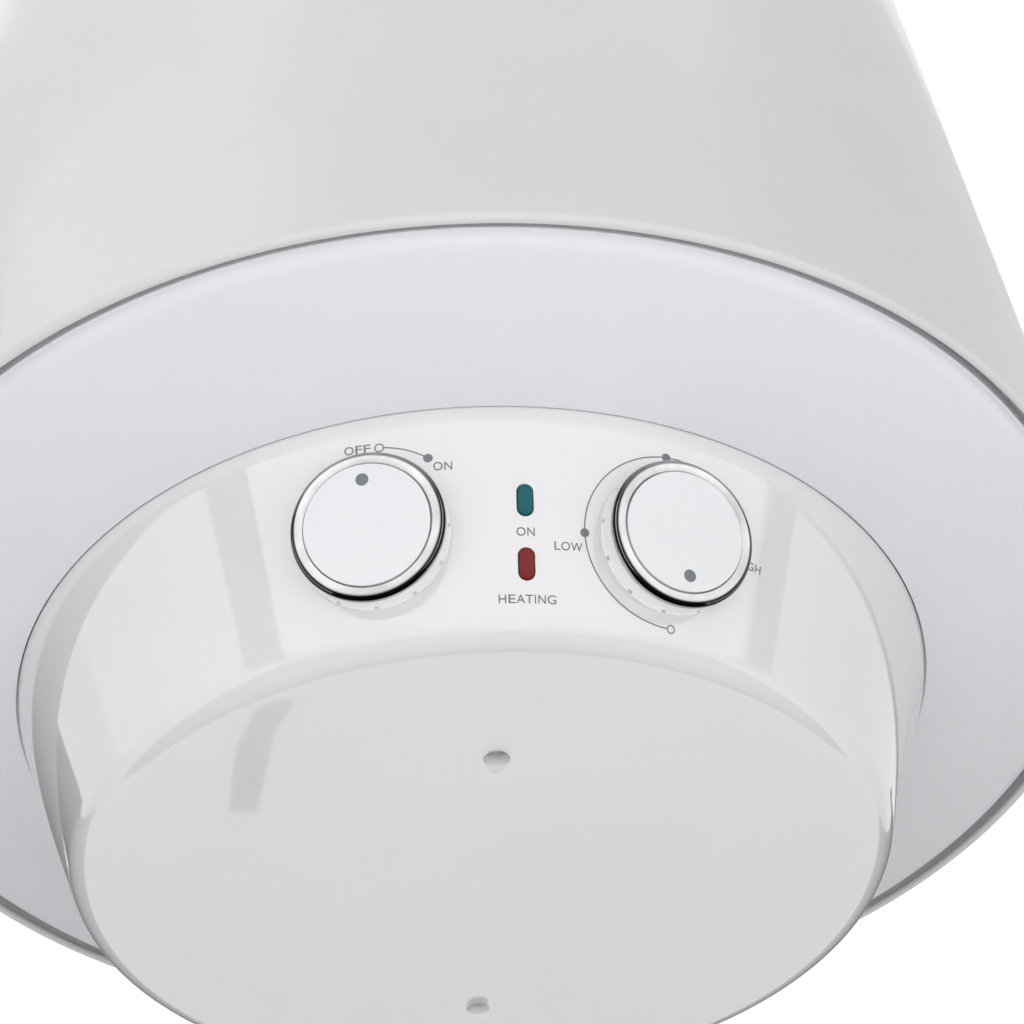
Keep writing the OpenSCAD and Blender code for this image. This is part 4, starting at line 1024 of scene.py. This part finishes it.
def flag(name, corners, shade, mirrored, faces=((0, 1, 2, 3),)):
    """A felt card that only mirror images see, or else only matt surfaces."""
    card = bpy.data.meshes.new(name)
    card.from_pydata(corners, [], faces)
    card.materials.append(moulded(name + "_felt", (shade, shade, shade), *FELT))
    made = bpy.data.objects.new(name, card)
    made.visible_camera = False
    made.visible_diffuse = not mirrored
    made.visible_glossy = mirrored
    made.visible_shadow = False
    bpy.context.scene.collection.objects.link(made)


def shown(tree):
    """One for rays of the camera, of mirror images and through glass, and zero for other light."""
    sight = add(tree, "ShaderNodeLightPath", {})
    seen = add(tree, "ShaderNodeMath", {
        0: sight.outputs["Is Camera Ray"], 1: sight.outputs["Is Glossy Ray"]}, operation="MAXIMUM")
    return add(tree, "ShaderNodeMath", {
        0: seen.outputs[0], 1: sight.outputs["Is Transmission Ray"]}, operation="MAXIMUM").outputs[0]


def floor():
    mesh = bpy.data.meshes.new("floor")
    corners = ((-1, -1), (1, -1), (1, 1), (-1, 1))
    mesh.from_pydata([(x * FLOOR_HALF, y * FLOOR_HALF, FLOOR_Z) for x, y in corners], [], [(0, 1, 2, 3)])
    paper = moulded("floor_paper", (0.88, 0.88, 0.88), *FELT)
    tree = paper.node_tree
    share = add(tree, "ShaderNodeMath", {0: shown(tree), 1: FLOOR_PALE}, operation="MULTIPLY")
    pale = add(tree, "ShaderNodeEmission", {"Color": (1, 1, 1, 1), "Strength": 1.0})
    both = add(tree, "ShaderNodeMixShader", {
        0: share.outputs[0], 1: tree.nodes["Principled BSDF"].outputs[0], 2: pale.outputs[0]})
    tree.links.new(both.outputs[0], tree.nodes["Material Output"].inputs["Surface"])
    mesh.materials.append(paper)
    made = bpy.data.objects.new("floor", mesh)
    bpy.context.scene.collection.objects.link(made)


def soft_boxes():
    for name, azimuth, elevation, distance, width, height, power, tint, mirrored in BOXES:
        lamp = bpy.data.lights.new(name, "AREA")
        lamp.shape = "RECTANGLE"
        lamp.size = width
        lamp.size_y = height
        lamp.energy = power
        lamp.color = tint
        box = bpy.data.objects.new(name, lamp)
        box.matrix_world = facing(azimuth, elevation, distance)
        box.visible_camera = False
        box.visible_glossy = mirrored
        bpy.context.scene.collection.objects.link(box)


def flags():
    for name, azimuth, elevation, distance, width, height, shade, mirrored in FLAGS:
        x, y = width / 2, height / 2
        place = facing(azimuth, elevation, distance)
        corners = [place @ Vector(corner) for corner in ((-x, -y, 0), (x, -y, 0), (x, y, 0), (-x, y, 0))]
        flag(name, corners, shade, mirrored)
    flag("floor_strip", STRIP, STRIP_SHADE, True)
    # The grey card just off the bottom cap's face: painted shade that only mirror images see
    ring = []
    for i in range(CAP_CARD_STEPS + 1):
        a = math.radians(CAP_CARD_FIRST + CAP_CARD_STEP * i)
        ring += [HEATER @ Vector((r * math.sin(a), -r * math.cos(a), z)) for r, z in CAP_CARD_ROWS]
    faces = [(2 * i, 2 * i + 1, 2 * i + 3, 2 * i + 2) for i in range(CAP_CARD_STEPS)]
    flag("cap_shade", ring, CAP_CARD_SHADE, True, faces)


def surround():
    world = bpy.data.worlds.new("studio")
    world.use_nodes = True
    tree = world.node_tree
    background = tree.nodes["Background"]
    strength = add(tree, "ShaderNodeMapRange", {"Value": shown(tree), "To Min": SURROUND_FILL, "To Max": 1.0})
    background.inputs["Color"].default_value = (1, 1, 1, 1)
    tree.links.new(strength.outputs[0], background.inputs["Strength"])
    bpy.context.scene.world = world
    bpy.context.scene.view_settings.view_transform = "Standard"


camera()
floor()
soft_boxes()
flags()
surround()
